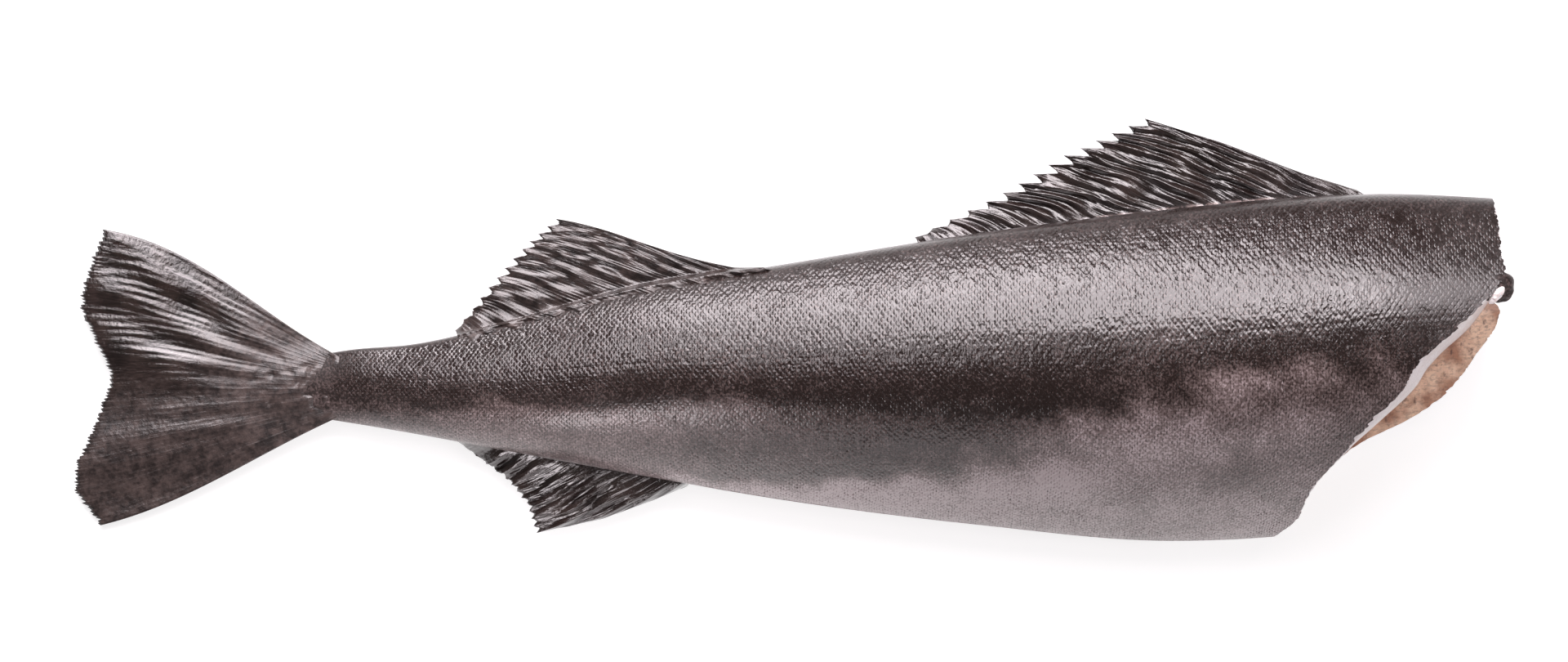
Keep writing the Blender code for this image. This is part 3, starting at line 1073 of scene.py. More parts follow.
@dataclass
class ScaledSkin:
    """Both flanks in panels of scaled skin."""

    form: BodyForm
    lattice: ScaleLattice = field(default_factory=ScaleLattice)
    finish: SkinFinish = field(default_factory=SkinFinish)
    relief_height: float = 0.21
    highest: float = 0.12           # no scale stands higher over the body
    lumps: Pair = (0.03, 8.0)       # height and size of the lumps under the scales
    pebble: Change = Change(0.80, 0.95, 0.3)        # relief added on the back, lost on stalk and nape
    stalk_loss: Change = Change(-10.0, -110.0, 0.42)
    nape_loss: Change = Change(215.0, 265.0, 0.55)
    edge_fade: Change = Change(0.2, 2.5)            # from the edges, and along the end of the stalk
    end_fade: Change = Change(-200.0, -150.0)
    line_share: float = 0.60        # lateral line: place, its rise, half width and depth in millimetres
    line_rise: Change = Change(80.0, 200.0, 0.02)
    line_width: float = 0.7
    line_depth: float = 0.045
    black_level: float = 30.0       # levels that give tone 0 and 1, and the level of the back
    pale_level: float = 172.0
    back_level: float = 34.0
    back: Change = Change(0.60, 0.75)
    section: float = 120.0          # millimetres for one share where the pigment wanders
    wander_waves: tuple[Pair, ...] = ((0.45, 34.0), (0.12, 9.0))
    blotch_size: float = 17.0       # blotches: size, height in levels on black skin, added on pale skin
    blotch: float = 2.0
    pale_blotch: Change = Change(40.0, 90.0, 3.0)
    wet: Change = Change(0.32, 0.52)                # gloss over the depth, and its loss at the nape
    dry_nape: Change = Change(235.0, 290.0, 0.7)
    plain_stalk: Change = Change(-172.0, -200.0)    # loss of pits and coat, also at the back edge
    plain_back: Change = Change(0.92, 0.975, 0.75)
    near_breaks: tuple[float, ...] = (-227.0, -116.0, -5.0, 100.0, 195.0)   # x at which panels start
    far_breaks: tuple[float, ...] = (-227.0, -60.0, 90.0)
    near_step: float = 0.46         # millimetres between points along the fish, and steps across it
    far_step: float = 0.66
    near_columns: int = 380
    far_columns: int = 230

    def shares(self, columns: int) -> Array:
        """Shares of the depth that stand evenly on the way over the widest section.

        Args:
            columns: number of steps.

        Returns:
            The shares, from 0 to 1.
        """
        widest = int(np.argmax(self.form.arc_table[:, -1]))
        way = self.form.arc_table[widest]
        return np.interp(np.linspace(0.0, way[-1], columns + 1), way, self.form.arc_t)

    def tone(self, x: Array, t: Array, side: Side) -> Array:
        """Tone of the skin: a dark side, a paler belly, a pale rim at the belly edge that is partly painted
        light from the floor, and clouds.

        Each change is a smooth step whose middle wanders with soft waves.

        Args:
            x: stations.
            t: shares of the depth.
            side: which flank.

        Returns:
            0 for black to 1 for pale lilac grey.
        """
        dark, edge, width, belly, rim_edge, rim_width, rim = (
            smooth_curve(PIGMENT_AND_PAINTED_RIM, column, x) for column in range(1, 8)
        )
        places = np.stack((x, self.section * t), axis=-1)
        seed = 21 if side is Side.NEAR else 61
        wander = mixed_waves(places, seed, *self.wander_waves)
        level = dark + (belly - dark) * smooth_step(1.0, -1.0, (t - edge) / width + wander)
        # the rim: partly the belly's own pale colour, partly painted light that the floor throws onto the
        # belly edge
        level = level + (rim - level) * smooth_step(1.0, -1.0, (t - rim_edge) / rim_width + wander)
        level = level + (self.back_level - level) * self.back.at(t)
        for cloud_x, cloud_t, along, across, change in CLOUDS:
            reach = ((x - cloud_x) / along) ** 2 + ((t - cloud_t) / across) ** 2
            level = level + change * np.exp(-reach)
        blotches = self.blotch + self.pale_blotch.at(level)
        level = level + blotches * waves(places, self.blotch_size, seed + 2)
        return (level - self.black_level) / (self.pale_level - self.black_level)

    def dryness(self, x: Array, t: Array) -> Array:
        """Loss of gloss: 1 on the satin belly and at the nape, 0 on the wet upper side."""
        return np.maximum(1.0 - self.wet.at(t), self.dry_nape.at(x))

    def plainness(self, x: Array, t: Array) -> Array:
        """Loss of pits and coat: 1 at the end of the stalk, less along the back edge."""
        return np.maximum(self.plain_stalk.at(x), self.plain_back.at(t))

    def panel(self, side: Side, start: Array, stop: Array, step: float, columns: int) -> Sheet:
        """One panel: straight lines of constant t between two x, pushed in between the scales.

        Args:
            side: which flank.
            start: x of the panel's tail end, for each column.
            stop: x of its head end, for each column.
            step: spacing along the fish in millimetres.
            columns: number of steps across.

        Returns:
            The panel with its tone and relief.
        """
        form, lattice = self.form, self.lattice
        t = self.shares(columns)
        rows = int(math.ceil(float(np.max(stop - start)) / step))
        share = np.linspace(0.0, 1.0, rows + 1)[:, None]
        x = start + (stop - start) * share
        t = np.broadcast_to(t, x.shape)
        base = form.surface(x, t, side)
        arc = form.arc(x, t)
        a, b = lattice.place(x, arc, side)
        uneven, uneven_size = lattice.pit_uneven
        relief = lattice.relief(a, b, 1.0 + uneven * waves(np.stack((x, arc), axis=-1), uneven_size, 20))
        from_edge = np.minimum(t, 1.0 - t) * form.depth(x)
        fade = self.edge_fade.at(from_edge) * self.end_fade.at(x)
        rough = 1.0 + self.pebble.at(t) - self.stalk_loss.at(x) - self.nape_loss.at(x)
        line = t - self.line_share - self.line_rise.at(x)
        line = line * form.depth(x) / self.line_width
        height = self.relief_height * (relief - 1.0) * rough - self.line_depth * np.exp(-line * line)
        height = np.minimum(height + self.lumps[0] * waves(base, self.lumps[1], 17), self.highest) * fade
        points = base + form.normal(x, t, side) * height[..., None]
        points[..., 2] = np.maximum(points[..., 2], 0.0)
        values = {"tone": self.tone(x, t, side), "dry": self.dryness(x, t), "plain": self.plainness(x, t)}
        return Sheet(points, values, {"scales": np.stack((a, b), axis=-1)})

    def build(self) -> None:
        """Makes the panels of both flanks."""
        material = self.finish.material()
        for side, breaks, step, columns in (
            (Side.NEAR, self.near_breaks, self.near_step, self.near_columns),
            (Side.FAR, self.far_breaks, self.far_step, self.far_columns),
        ):
            cut = self.form.cut_x(self.shares(columns), side)
            ends = [np.full_like(cut, x) for x in breaks] + [cut]
            for number, (start, stop) in enumerate(zip(ends, ends[1:]), 1):
                sheet = self.panel(side, start, stop, step, columns)
                name = f"{side.name.lower()}_flank_skin_{number}"
                add_piece(name, open_sheet(name, sheet, side is Side.NEAR), material)


# ---------------------------------------------------------------- cut end and cavity

@dataclass
class CutEnd:
    """Flesh between the skin edges at the slanted cut, open where the cavity meets it."""

    form: BodyForm
    finish: FleshFinish = field(default_factory=FleshFinish)
    lining: FleshFinish = field(default_factory=lambda: FleshFinish(
        "moist_lining", pale=shade(253, 222, 196), deep=shade(188, 144, 120), vein=shade(110, 84, 80),
        roughness=0.30, veins=0.8, threads=(420.0, 3.0, 0.55), grain=0.40))
    columns: int = 330
    steps: int = 34
    lining_steps: int = 150
    reading_rounds: int = 30
    swell: float = 0.35             # height of the swollen flesh, full from this width on, and its sinking
    swell_width: float = 6.0
    sink: float = 0.15
    lumps: tuple[Pair, ...] = ((0.3, 7.0), (0.2, 2.2), (0.12, 1.0))
    swell_base: float = 0.6         # swelling without its lumps
    rag_power: float = 4.0          # how fast the knife's rag fades from the edge
    closed_below: float = 0.004     # share of a rung below which the cavity counts as closed
    open_blend: Change = Change(0.0, 0.2)           # from the rung to the lining as the cavity opens
    far_rag: Pair = (0.2, 0.8)      # rag of the far wall in millimetres: least, and height of its waves
    far_rag_sizes: Pair = (9.0, 2.4)
    past_top: float = 1.03          # the lining ends where the cut passes the cavity's top
    join: Change = Change(0.93, 1.0)                # the lining moves to the cut at its end
    rib_height: float = 0.25        # ridges of the lining: height, spacing and lean in millimetres
    rib_pitch: float = 7.5
    rib_lean: float = 26.0
    rib_start: Change = Change(0.15, 0.5)           # they begin above the slit, and fade at all rims
    rib_rims: tuple[Change, ...] = (Change(0.0, 0.06), Change(1.0, 0.9), Change(1.0, 0.96))

    def rungs(self, t: Array, rag: bool = False) -> tuple[Array, Array]:
        """The two ends of each rung of the cut: near skin edge and far skin edge."""
        near, far = (self.form.surface(self.form.cut_x(t, side, rag), t, side) for side in Side)
        return near, far

    def opening(self, t: Array) -> tuple[Array, Array]:
        """Shares along each rung at which the cavity's roof and floor cross it.

        The share is moved by repeated reading until the rung's height is the wall's.

        Args:
            t: shares of the depth.

        Returns:
            Share of the roof and share of the floor; both are the same above the cavity.
        """
        near, far = self.rungs(t)
        span = near[:, 2] - far[:, 2]
        shares = []
        for side, first in ((Side.NEAR, 0.1), (Side.FAR, 0.9)):
            r = np.full_like(t, first)
            for _ in range(self.reading_rounds):
                place = near + (far - near) * r[:, None]
                x = place[:, 0]
                inside = (place[:, 1] - self.form.belly_y(x)) / self.form.depth(x)
                inside = np.clip(inside / smooth_curve(CAVITY_TOP, 1, x), 0.0, 1.0)
                wall = self.form.cavity(x, inside, side)[:, 2]
                r = 0.5 * r + 0.5 * np.clip((near[:, 2] - wall) / np.maximum(span, 0.5), 0.0, 1.0)
            shares.append(r)
        roof, floor = shares
        middle = 0.5 * (roof + floor)
        closed = floor - roof < self.closed_below
        return np.where(closed, middle, roof), np.where(closed, middle, floor)

    def far_rim(self, t: Array, roof: Array, floor: Array) -> Array:
        """Upper edge of the far wall: on the lining at the far cut, on the rung where that is closed.

        Args:
            t: shares of the depth.
            roof: share of each rung at the cavity's roof.
            floor: share at its floor.

        Returns:
            Places, one for each t.
        """
        near, far = self.rungs(t)
        on_rung = near + (far - near) * floor[:, None]
        rag = [np.abs(waves(far, size, 38 + i)) for i, size in enumerate(self.far_rag_sizes)]
        x = far[:, 0] - self.far_rag[0] - self.far_rag[1] * rag[0] * rag[1]
        lined = self.form.cavity(x, np.clip(t / smooth_curve(CAVITY_TOP, 1, x), 0.0, 1.0), Side.FAR)
        return on_rung + (lined - on_rung) * self.open_blend.at(floor - roof)[:, None]

    def band(self, first: Array, last: Array, rag: Array, seed: int) -> Sheet:
        """Flesh between two lines, slightly swollen.

        A place is first + r (last - first), moved by the knife's rag times (1 - r)⁴.

        Args:
            first: places where the band starts, one column each.
            last: places where it ends.
            rag: moves of the start.
            seed: seed of the lumps.

        Returns:
            The band.
        """
        r = np.linspace(0.0, 1.0, self.steps + 1)[:, None, None]
        points = first + (last - first) * r + rag * (1.0 - r) ** self.rag_power
        width = np.linalg.norm(last - first, axis=1)
        bulge = self.swell * np.sin(math.pi * r[..., 0]) * np.minimum(width / self.swell_width, 1.0)
        points[..., 0] += bulge * (self.swell_base + mixed_waves(points, seed, *self.lumps)) - self.sink
        return Sheet(points)

    def build(self) -> None:
        """Makes the near and the far band of flesh and the two walls of the cavity."""
        edge = 0.5 - 0.5 * np.cos(np.linspace(0.0, math.pi, self.columns + 1))
        roof, floor = self.opening(edge)
        near, far = self.rungs(edge)
        near_rag, far_rag = self.rungs(edge, True)
        under_near = near + (far - near) * roof[:, None]
        rim = self.far_rim(edge, roof, floor)
        flesh, lining = self.finish.material(), self.lining.material()
        for side, band in (
            (Side.NEAR, self.band(near, under_near, near_rag - near, 31)),
            (Side.FAR, self.band(far, rim, far_rag - far, 35)),
        ):
            name = f"{side.name.lower()}_wall_flesh"
            add_piece(name, open_sheet(name, band, side is Side.NEAR), flesh)
        for side, at_cut in ((Side.NEAR, under_near), (Side.FAR, rim)):
            name = f"{side.name.lower()}_belly_lining"
            add_piece(name, open_sheet(name, self.wall(at_cut, side), side is Side.FAR), lining)

    def wall(self, at_cut: Array, side: Side) -> Sheet:
        """Lining of one cavity wall, from the vent to the cut, which it meets exactly.

        Args:
            at_cut: where the wall ends at the cut, from the belly edge up.
            side: the wall's flank.

        Returns:
            The lining, ridged a little where it lies over the ribs.
        """
        form = self.form
        inside = (at_cut[:, 1] - form.belly_y(at_cut[:, 0])) / form.depth(at_cut[:, 0])
        inside = inside / smooth_curve(CAVITY_TOP, 1, at_cut[:, 0])
        keep = np.maximum.accumulate(inside) <= self.past_top
        last = np.append(np.flatnonzero(keep), np.flatnonzero(keep)[-1])
        share = np.clip(inside[last], 0.0, 1.0)
        share[-1] = 1.0
        end = at_cut[last]
        along = np.linspace(0.0, 1.0, self.lining_steps)[:, None]
        x = CAVITY_TOP[0, 0] + (end[:, 0] - CAVITY_TOP[0, 0]) * along
        share = np.broadcast_to(share, x.shape)
        points = form.cavity(x, share, side)
        points = points + (end - points[-1]) * self.join.at(along)[..., None]
        ribs = self.rib_height * np.cos(2.0 * math.pi * (x + self.rib_lean * share) / self.rib_pitch)
        ribs = ribs * self.rib_start.at(share)
        fade = self.rib_rims[0].at(share) * self.rib_rims[1].at(share) * self.rib_rims[2].at(along)
        points[..., 2] -= side.value * ribs * fade
        return Sheet(points)


# ---------------------------------------------------------------- fins

def rim_fade(steps: int, reach: float = 3.0) -> Array:
    """Square root rise from 0 at both ends of a row of steps to 1 beyond the reach."""
    count = np.arange(steps + 1)
    return np.sqrt(np.clip(np.minimum(count, count[::-1]) / reach, 0.0, 1.0))


@dataclass
class Fin:
    """One fin: a thin plate with raised rays, folded skin between them and a worn edge.

    base is the smooth line of the ray roots from the first ray to the last.  edge is the line
    of ray tips: number of the ray, x, y.  A pair of values goes from the first ray to the last.
    """

    name: str
    base: tuple[Pair, ...]
    edge: tuple[Triple, ...]
    notch: Pair                     # cut back between the rays, as a share of their length
    bow: Pair                       # bend across the rays, as a share of their length
    base_z: Pair
    tip_z: Pair
    spread: float = 1.0             # power that draws the roots of the rays towards the head
    ridge: float = 0.35             # height of the rays, and its loss towards the edge
    ridge_loss: float = 0.6
    branches: float = 1.0           # how far the rays split towards the edge, and where
    split: Change = Change(0.3, 0.7)
    fold: float = 0.30              # height of the skin folds, and their width
    fold_width: float = 4.5
    short_fold: float = 0.15        # height and width of the smaller folds against the large ones
    short_width: float = 0.26
    thread_width: float = 0.9       # width of the threads, and how far folds and threads are drawn out
    stretches: Triple = (2.6, 7.0, 14.0)
    fine: float = 0.02
    wander: float = 0.6             # how far the folds wander, and over what length
    wander_size: float = 30.0
    crown: float = 0.0              # rise of the middle rays, and its fading to root and edge
    crown_root: Change = Change(0.0, 0.3)
    crown_edge: Change = Change(1.1, 0.6)
    teeth: float = 0.8              # length and number of the small teeth of the worn edge
    teeth_per_ray: float = 3.0
    tooth_shift: Pair = (0.35, 2.3)                 # uneven spacing of the teeth, and slope of their ramps
    tooth_power: float = 1.3
    full_teeth: float = 20.0        # length of a ray from which its teeth are full, in mm
    shortest: float = 6.0
    notch_power: float = 0.8
    tip_wear: float = 0.010         # most that a ray's tip is worn, as a share of its length
    seam: float = 0.0               # strength of the pale seam at the root, partly pink skin and partly a painted highlight of the fold, and its ends in x
    seam_reach: Pair = (118.0, 220.0)
    seam_fade: Change = Change(0.0, 22.0)
    seam_at: float = 2.2            # way of the seam from the root, and its half width in millimetres
    seam_width: float = 1.2
    seam_uneven: Triple = (0.75, 0.5, 14.0)         # mean strength, height and size of its waves
    over_body: float = 0.0          # softness with which the fin's root runs up the body, in mm
    body_slope: float = 2.5         # fall of the body's height beside its edge and behind its end
    end_slope: float = 0.5
    near_skin: Change = Change(-4.0, 1.0)           # where the fin's root follows the skin, and dives
    dive: Change = Change(0.1, 0.6)
    dive_rim: Change = Change(0.8, 1.0)
    dive_uneven: Pair = (0.22, 8.0)                 # height and size of the waves of this edge
    step_up: float = 0.3            # rise over the skin, and fall under it at the inner rim, in mm
    step_down: float = 1.1
    root_blend: float = 0.5         # reach of the mottled root in mm, and share of it that is full
    root_full: float = 0.35
    fold_shape: tuple[Pair, ...] = ((0.0, 1.0), (1.0, 1.0))
    fold_start: float = 0.12        # share of the length over which the folds start, and where they end
    fold_end: Change = Change(1.02, 0.9)
    root_folds: float = 0.0         # share of the folds' height at the root
    tone: Triple = (0.10, 22.0, 0.06)               # waves of the tone, their size, and painted light and shade of the folds, paler where they rise
    dull: float = 0.0               # how mottled and dull the last rays are, and from which share
    dull_start: float = 0.46
    dull_reach: float = 0.14
    dull_uneven: Pair = (0.02, 9.0)
    columns: int = 560
    rows: int = 64
    root: float = 5.0               # length hidden in the body, and how much shorter its ends are
    root_taper: float = 0.0
    web: float = 0.28               # half thickness of the skin between the rays
    ripple: float = 0.7             # height and number of the broad waves, and where they start
    ripples: float = 3.0
    flat_share: float = 0.12
    sag_power: float = 1.4          # power with which the height falls from root to tip
    bow_scale: float = 27.0 / 4.0   # brings the peak of v² (1 - v) to 1
    under_offset: float = 300.0     # moves the under side away on the ray map
    seed: int = 50

    def line(self, share: Array) -> Array:
        """Places on the base line, a smooth curve through its points.

        Args:
            share: shares of its length.

        Returns:
            The places x and y.
        """
        points = np.array(self.base)
        reach = np.concatenate(((0.0,), np.cumsum(np.linalg.norm(np.diff(points, axis=0), axis=1))))
        table = np.column_stack((reach / reach[-1], points))
        return np.stack((smooth_curve(table, 1, share), smooth_curve(table, 2, share)), axis=-1)

    def worn_reach(self, number: Array, length: Array) -> Array:
        """Share of the full length at which each column ends.

        The edge is cut back between the rays by the notch, then by small teeth of drawn length,
        each a ramp that is deepest between two teeth.

        Args:
            number: ray number of each column.
            length: full length of each column in millimetres.

        Returns:
            The shares, 1 at the tip of an unworn ray.
        """
        draw = np.random.default_rng(self.seed)
        rays = int(number[-1]) + 1
        off_ray = np.abs(number - np.round(number)) * 2.0
        notch = np.interp(number / number[-1], (0.0, 1.0), self.notch)
        tooth = number * self.teeth_per_ray + self.tooth_shift[0] * np.sin(number * self.tooth_shift[1])
        depth = draw.uniform(0.35, 1.0, int(tooth[-1]) + 3)[np.floor(tooth + 1.0).astype(int)]
        ramp = np.mod(tooth, 1.0) ** self.tooth_power
        worn = self.teeth * depth * ramp * np.minimum(length / self.full_teeth, 1.0)
        worn = worn / np.maximum(length, self.shortest)
        tips = np.interp(number, np.arange(rays), draw.uniform(0.0, self.tip_wear, rays))
        return 1.0 - notch * off_ray ** self.notch_power - worn - tips

    def relief(self, number: Array, along: Array, flat: Array, spacing: float) -> tuple[Array, Array]:
        """Height of the folded skin and share of a ray at each place.

        The folds are two sets of soft waves, long along the rays and narrow across them, whose
        place wanders; the rays are powers of a squared cosine that doubles towards the edge.

        Args:
            number: ray number.
            along: way from the root in millimetres.
            flat: share of the length.
            spacing: width between two rays in millimetres.

        Returns:
            Height in millimetres, and 0 to 1 for web to ray.
        """
        places = np.stack((number * spacing, along), axis=-1)
        across = places[..., 0] + self.wander * waves(places, self.wander_size, self.seed + 1)
        sizes = (self.fold_width, self.short_width * self.fold_width, self.thread_width)
        long_folds, short_folds, threads = (
            waves(np.stack((across, along / stretch), axis=-1), size, self.seed + seed, 9)
            for seed, (stretch, size) in enumerate(zip(self.stretches, sizes), 2)
        )
        split = self.branches * self.split.at(flat)
        ray = np.cos(math.pi * number) ** 2 * (1.0 - split) + np.cos(2.0 * math.pi * number) ** 2 * split
        share = number / max(ray_number for ray_number, *_ in self.edge)
        inner = self.root_folds + (1.0 - self.root_folds) * smooth_step(0.0, self.fold_start, flat)
        inner = inner * self.fold_end.at(flat)
        inner = inner * np.interp(share, *zip(*self.fold_shape))
        height = self.fold * (long_folds + self.short_fold * short_folds) * inner + self.fine * threads
        return height, ray ** 3

    def rise_over_body(self, form: BodyForm, xy: Array, z: Array, inside: Array) -> Array:
        """Rise that carries the fin's root smoothly up the body and then under its skin.

        It is softness · ln(1 + e^((h - z) / softness)), where h is the body's height, which
        falls away beside the body, and a small step down at the inner rim.

        Args:
            form: form of the body.
            xy: places.
            z: height of the fin there.
            inside: share of the root's width, 0 at the base line and 1 at the inner rim.

        Returns:
            Rise in millimetres.
        """
        x, y = xy[..., 0], xy[..., 1]
        t = (y - form.belly_y(x)) / form.depth(x)
        beside = np.maximum(np.maximum(-t, t - 1.0), 0.0) * form.depth(x)
        end = np.maximum(STATIONS[0, 0] - x, 0.0)
        height = form.height(x, np.clip(t, 0.02, 0.98), Side.NEAR)
        height = height - self.body_slope * beside - self.end_slope * end
        gap = np.clip((height - z) / self.over_body, -30.0, 30.0)
        uneven = self.dive_uneven[0] * waves(xy, self.dive_uneven[1], self.seed + 7)
        dive = np.maximum(self.dive.at(inside + uneven), self.dive_rim.at(inside))
        step = self.near_skin.at(gap) * (self.step_up - self.step_down * dive)
        return self.over_body * np.log1p(np.exp(gap)) + step

    def seam_strength(self, xy: Array, along: Array) -> Array:
        """Strength of the pale seam, partly pink skin and partly a painted highlight of the fold at the
        root: a bell across it, faded at its ends, and uneven.

        Args:
            xy: places.
            along: way from the root in millimetres.

        Returns:
            0 to 1.
        """
        low, high = self.seam_reach
        ends = self.seam_fade.at(xy[..., 0] - low) * self.seam_fade.at(high - xy[..., 0])
        level, change, size = self.seam_uneven
        uneven = np.clip(level + change * waves(xy, size, self.seed + 5), 0.0, 1.0)
        return self.seam * np.exp(-((along - self.seam_at) / self.seam_width) ** 2) * ends * uneven

    def mottling(self, xy: Array, along: Array, share: Array) -> Array:
        """Strength of the mottled dull skin at the root and on the last rays.

        Args:
            xy: places.
            along: way from the root in millimetres.
            share: 0 at the first ray to 1 at the last.

        Returns:
            0 to 1.
        """
        edge = share + self.dull_uneven[0] * waves(xy, self.dull_uneven[1], self.seed + 8)
        dull = self.dull * smooth_step(self.dull_start, self.dull_start + self.dull_reach, edge)
        return np.maximum(smooth_step(self.root_blend, self.root_full * self.root_blend, along), dull)

    def sheets(self, form: BodyForm) -> tuple[Sheet, Sheet]:
        """Upper and lower face.

        A point is root + v (tip - root) with a bow across it, v cut short at the worn edge.  The
        half thickness is the thin web plus the rays; the folds lift both faces.

        Args:
            form: form of the body, over which the root may run up.

        Returns:
            Both sheets, which meet at their rims.
        """
        edge = np.array(self.edge)
        share = np.linspace(0.0, 1.0, self.columns + 1)
        number = share * edge[-1, 0]
        bow, base_z, tip_z = (
            np.interp(share, (0.0, 1.0), pair) for pair in (self.bow, self.base_z, self.tip_z)
        )
        base = self.line(share ** self.spread)
        tip = np.stack([np.interp(number, edge[:, 0], edge[:, axis]) for axis in (1, 2)], axis=-1)
        spacing = float(np.linalg.norm(np.diff(edge[:, 1:], axis=0), axis=1).sum() / edge[-1, 0])
        ray = tip - base
        length = np.linalg.norm(ray, axis=1)
        hidden = self.root * (1.0 - self.root_taper + self.root_taper * np.sin(math.pi * share))
        root = -hidden / np.maximum(length, self.root)
        reach = self.worn_reach(number, length)
        v = root + (reach - root) * np.linspace(0.0, 1.0, self.rows + 1)[:, None]
        flat = np.clip(v, 0.0, 1.0)
        along = v * length
        number = np.broadcast_to(number, v.shape)
        across = np.stack((-ray[:, 1], ray[:, 0]), axis=-1)
        bowed = bow * self.bow_scale * flat ** 2 * (1.0 - flat)
        xy = base + v[..., None] * ray + bowed[..., None] * across
        lift, on_ray = self.relief(number, along, flat, spacing)
        over_table = np.maximum(flat - self.flat_share, 0.0)
        wave = self.ripple * over_table * np.sin(2.0 * math.pi * self.ripples * share)
        crown = self.crown * np.sin(math.pi * share)
        crown = crown * self.crown_root.at(flat) * self.crown_edge.at(flat)
        z = base_z + (tip_z - base_z) * flat ** self.sag_power + wave + crown
        if self.over_body:
            z = z + self.rise_over_body(form, xy, z, np.clip(-v * length / hidden, 0.0, 1.0))
        half = self.web + self.ridge * on_ray * (1.0 - self.ridge_loss * flat)
        half = half * rim_fade(self.rows)[:, None] * rim_fade(self.columns)
        # painted light and shade: the fin is made paler where its folds rise and darker in their hollows
        level, size, painted_fold_shade = self.tone
        values = {
            "tone": level * waves(xy, size, self.seed + 6) + painted_fold_shade * lift / max(self.fold, 0.01),
            "seam": self.seam_strength(xy, along),
            "root": self.mottling(xy, along, share),
        }
        rays = number * spacing
        sheets = []
        for sign in (1.0, -1.0):
            points = np.dstack((xy, z + lift + sign * half))
            place = np.stack((rays, along + self.under_offset * (sign < 0)), axis=-1)
            sheets.append(Sheet(points, values, {"rays": place}))
        return sheets[0], sheets[1]

    def build(self, form: BodyForm, material: bpy.types.Material) -> None:
        """Makes the fin, with its faces turned outwards.

        Args:
            form: form of the body.
            material: finish of the fins.
        """
        upper, lower = self.sheets(form)
        middle, quarter = self.rows // 2, self.columns // 2
        corner = upper.points[middle, quarter]
        down_row = upper.points[middle + 1, quarter] - corner
        if np.cross(down_row, upper.points[middle, quarter + 1] - corner)[2] < 0.0:
            for sheet in (upper, lower):
                sheet.points = sheet.points[:, ::-1]
                sheet.values = {key: grid[:, ::-1] for key, grid in sheet.values.items()}
                sheet.maps = {key: grid[:, ::-1] for key, grid in sheet.maps.items()}
        add_piece(self.name, closed_pair(self.name, upper, lower), material)


def fins() -> tuple[Fin, ...]:
    """The four fins, with the sizes of the solid.

    Returns:
        The fins, from the first back fin to the tail.
    """
    return (
        Fin("first_dorsal_fin",
            ((240.0, 55.5), (192.0, 52.6), (124.0, 45.0), (54.0, 36.4)),
            ((0, 236.0, 58.4), (1, 212.0, 65.6), (2, 176.0, 79.2), (3, 147.0, 88.2),
             (8, 113.6, 72.8), (12, 88.6, 57.2), (17, 52.6, 38.8)),
            (0.02, 0.26), (-0.02, -0.05), (41.7, 35.5), (39.0, 32.5),
            spread=1.25, ridge=0.24, branches=0.0, fold=0.64, fold_width=10.0, wander=1.0, teeth=0.5,
            teeth_per_ray=2.0, seam=1.0, fold_shape=((0.0, 0.5), (0.16, 0.7), (0.25, 1.1), (1.0, 1.1)),
            columns=500, rows=56, seed=50),
        Fin("second_dorsal_fin",
            ((-9.0, 25.4), (-34.0, 21.6), (-63.0, 16.0), (-98.0, 7.2), (-138.0, -3.0)),
            ((0, -10.5, 26.2), (0.5, -33.0, 26.0), (1, -47.0, 28.4), (2, -75.0, 37.4), (3, -97.5, 46.6),
             (7, -112.5, 34.0), (11, -126.0, 18.0), (15, -139.5, 0.0)),
            (0.02, 0.14), (-0.02, -0.05), (36.2, 21.6), (30.0, 17.0),
            spread=1.3, ridge=0.22, branches=0.4, fold=0.52, fold_width=9.0, teeth=0.8, teeth_per_ray=2.0,
            fold_shape=((0.0, 0.3), (0.12, 0.7), (0.3, 1.0), (1.0, 1.0)), fold_start=0.03, over_body=0.5,
            body_slope=4.0, root_folds=1.2, dull=0.58, dull_start=-0.2, columns=440, rows=64, seed=60),
        Fin("anal_fin",
            ((-40.0, -62.4), (-80.0, -55.5), (-112.0, -49.5), (-138.0, -44.5)),
            ((0, -42.5, -65.6), (1, -58.0, -72.0), (2, -79.0, -79.6), (4, -106.5, -85.4),
             (8, -110.5, -73.0), (12, -119.0, -62.5), (17, -139.5, -46.6)),
            (0.02, 0.08), (0.02, 0.05), (15.9, 13.6), (7.0, 6.5),
            spread=1.35, ridge=0.20, branches=0.6, fold=0.80, fold_width=9.0, fold_start=0.6, teeth=0.9,
            teeth_per_ray=2.0, columns=420, rows=56, seed=70),
        Fin("tail_fin",
            ((-191.0, -9.5), (-206.0, -15.0), (-211.0, -23.5), (-206.0, -32.0), (-191.0, -37.5)),
            ((0, -289.5, 42.6), (3, -296.0, 25.0), (6, -299.4, 9.5), (10, -290.0, -10.0),
             (12, -286.0, -20.0), (15, -291.5, -36.0), (19, -300.2, -55.0), (22, -301.8, -68.0),
             (25, -291.0, -82.4)),
            (0.01, 0.01), (-0.055, 0.030), (9.4, 9.4), (5.0, 3.4),
            ridge=0.05, fold=0.42, fold_width=16.0, fine=0.010, wander=0.3, crown=2.0, teeth=2.2,
            teeth_per_ray=3.3, fold_shape=((0.0, 1.0), (0.1, 1.1), (0.42, 1.0), (0.54, 0.3), (1.0, 0.2)),
            fold_start=0.4, over_body=2.0, body_slope=0.8, root=22.0, root_taper=0.75, root_blend=58.0,
            dull=0.75, columns=500, rows=72, seed=80),
    )


# ---------------------------------------------------------------- collar knob

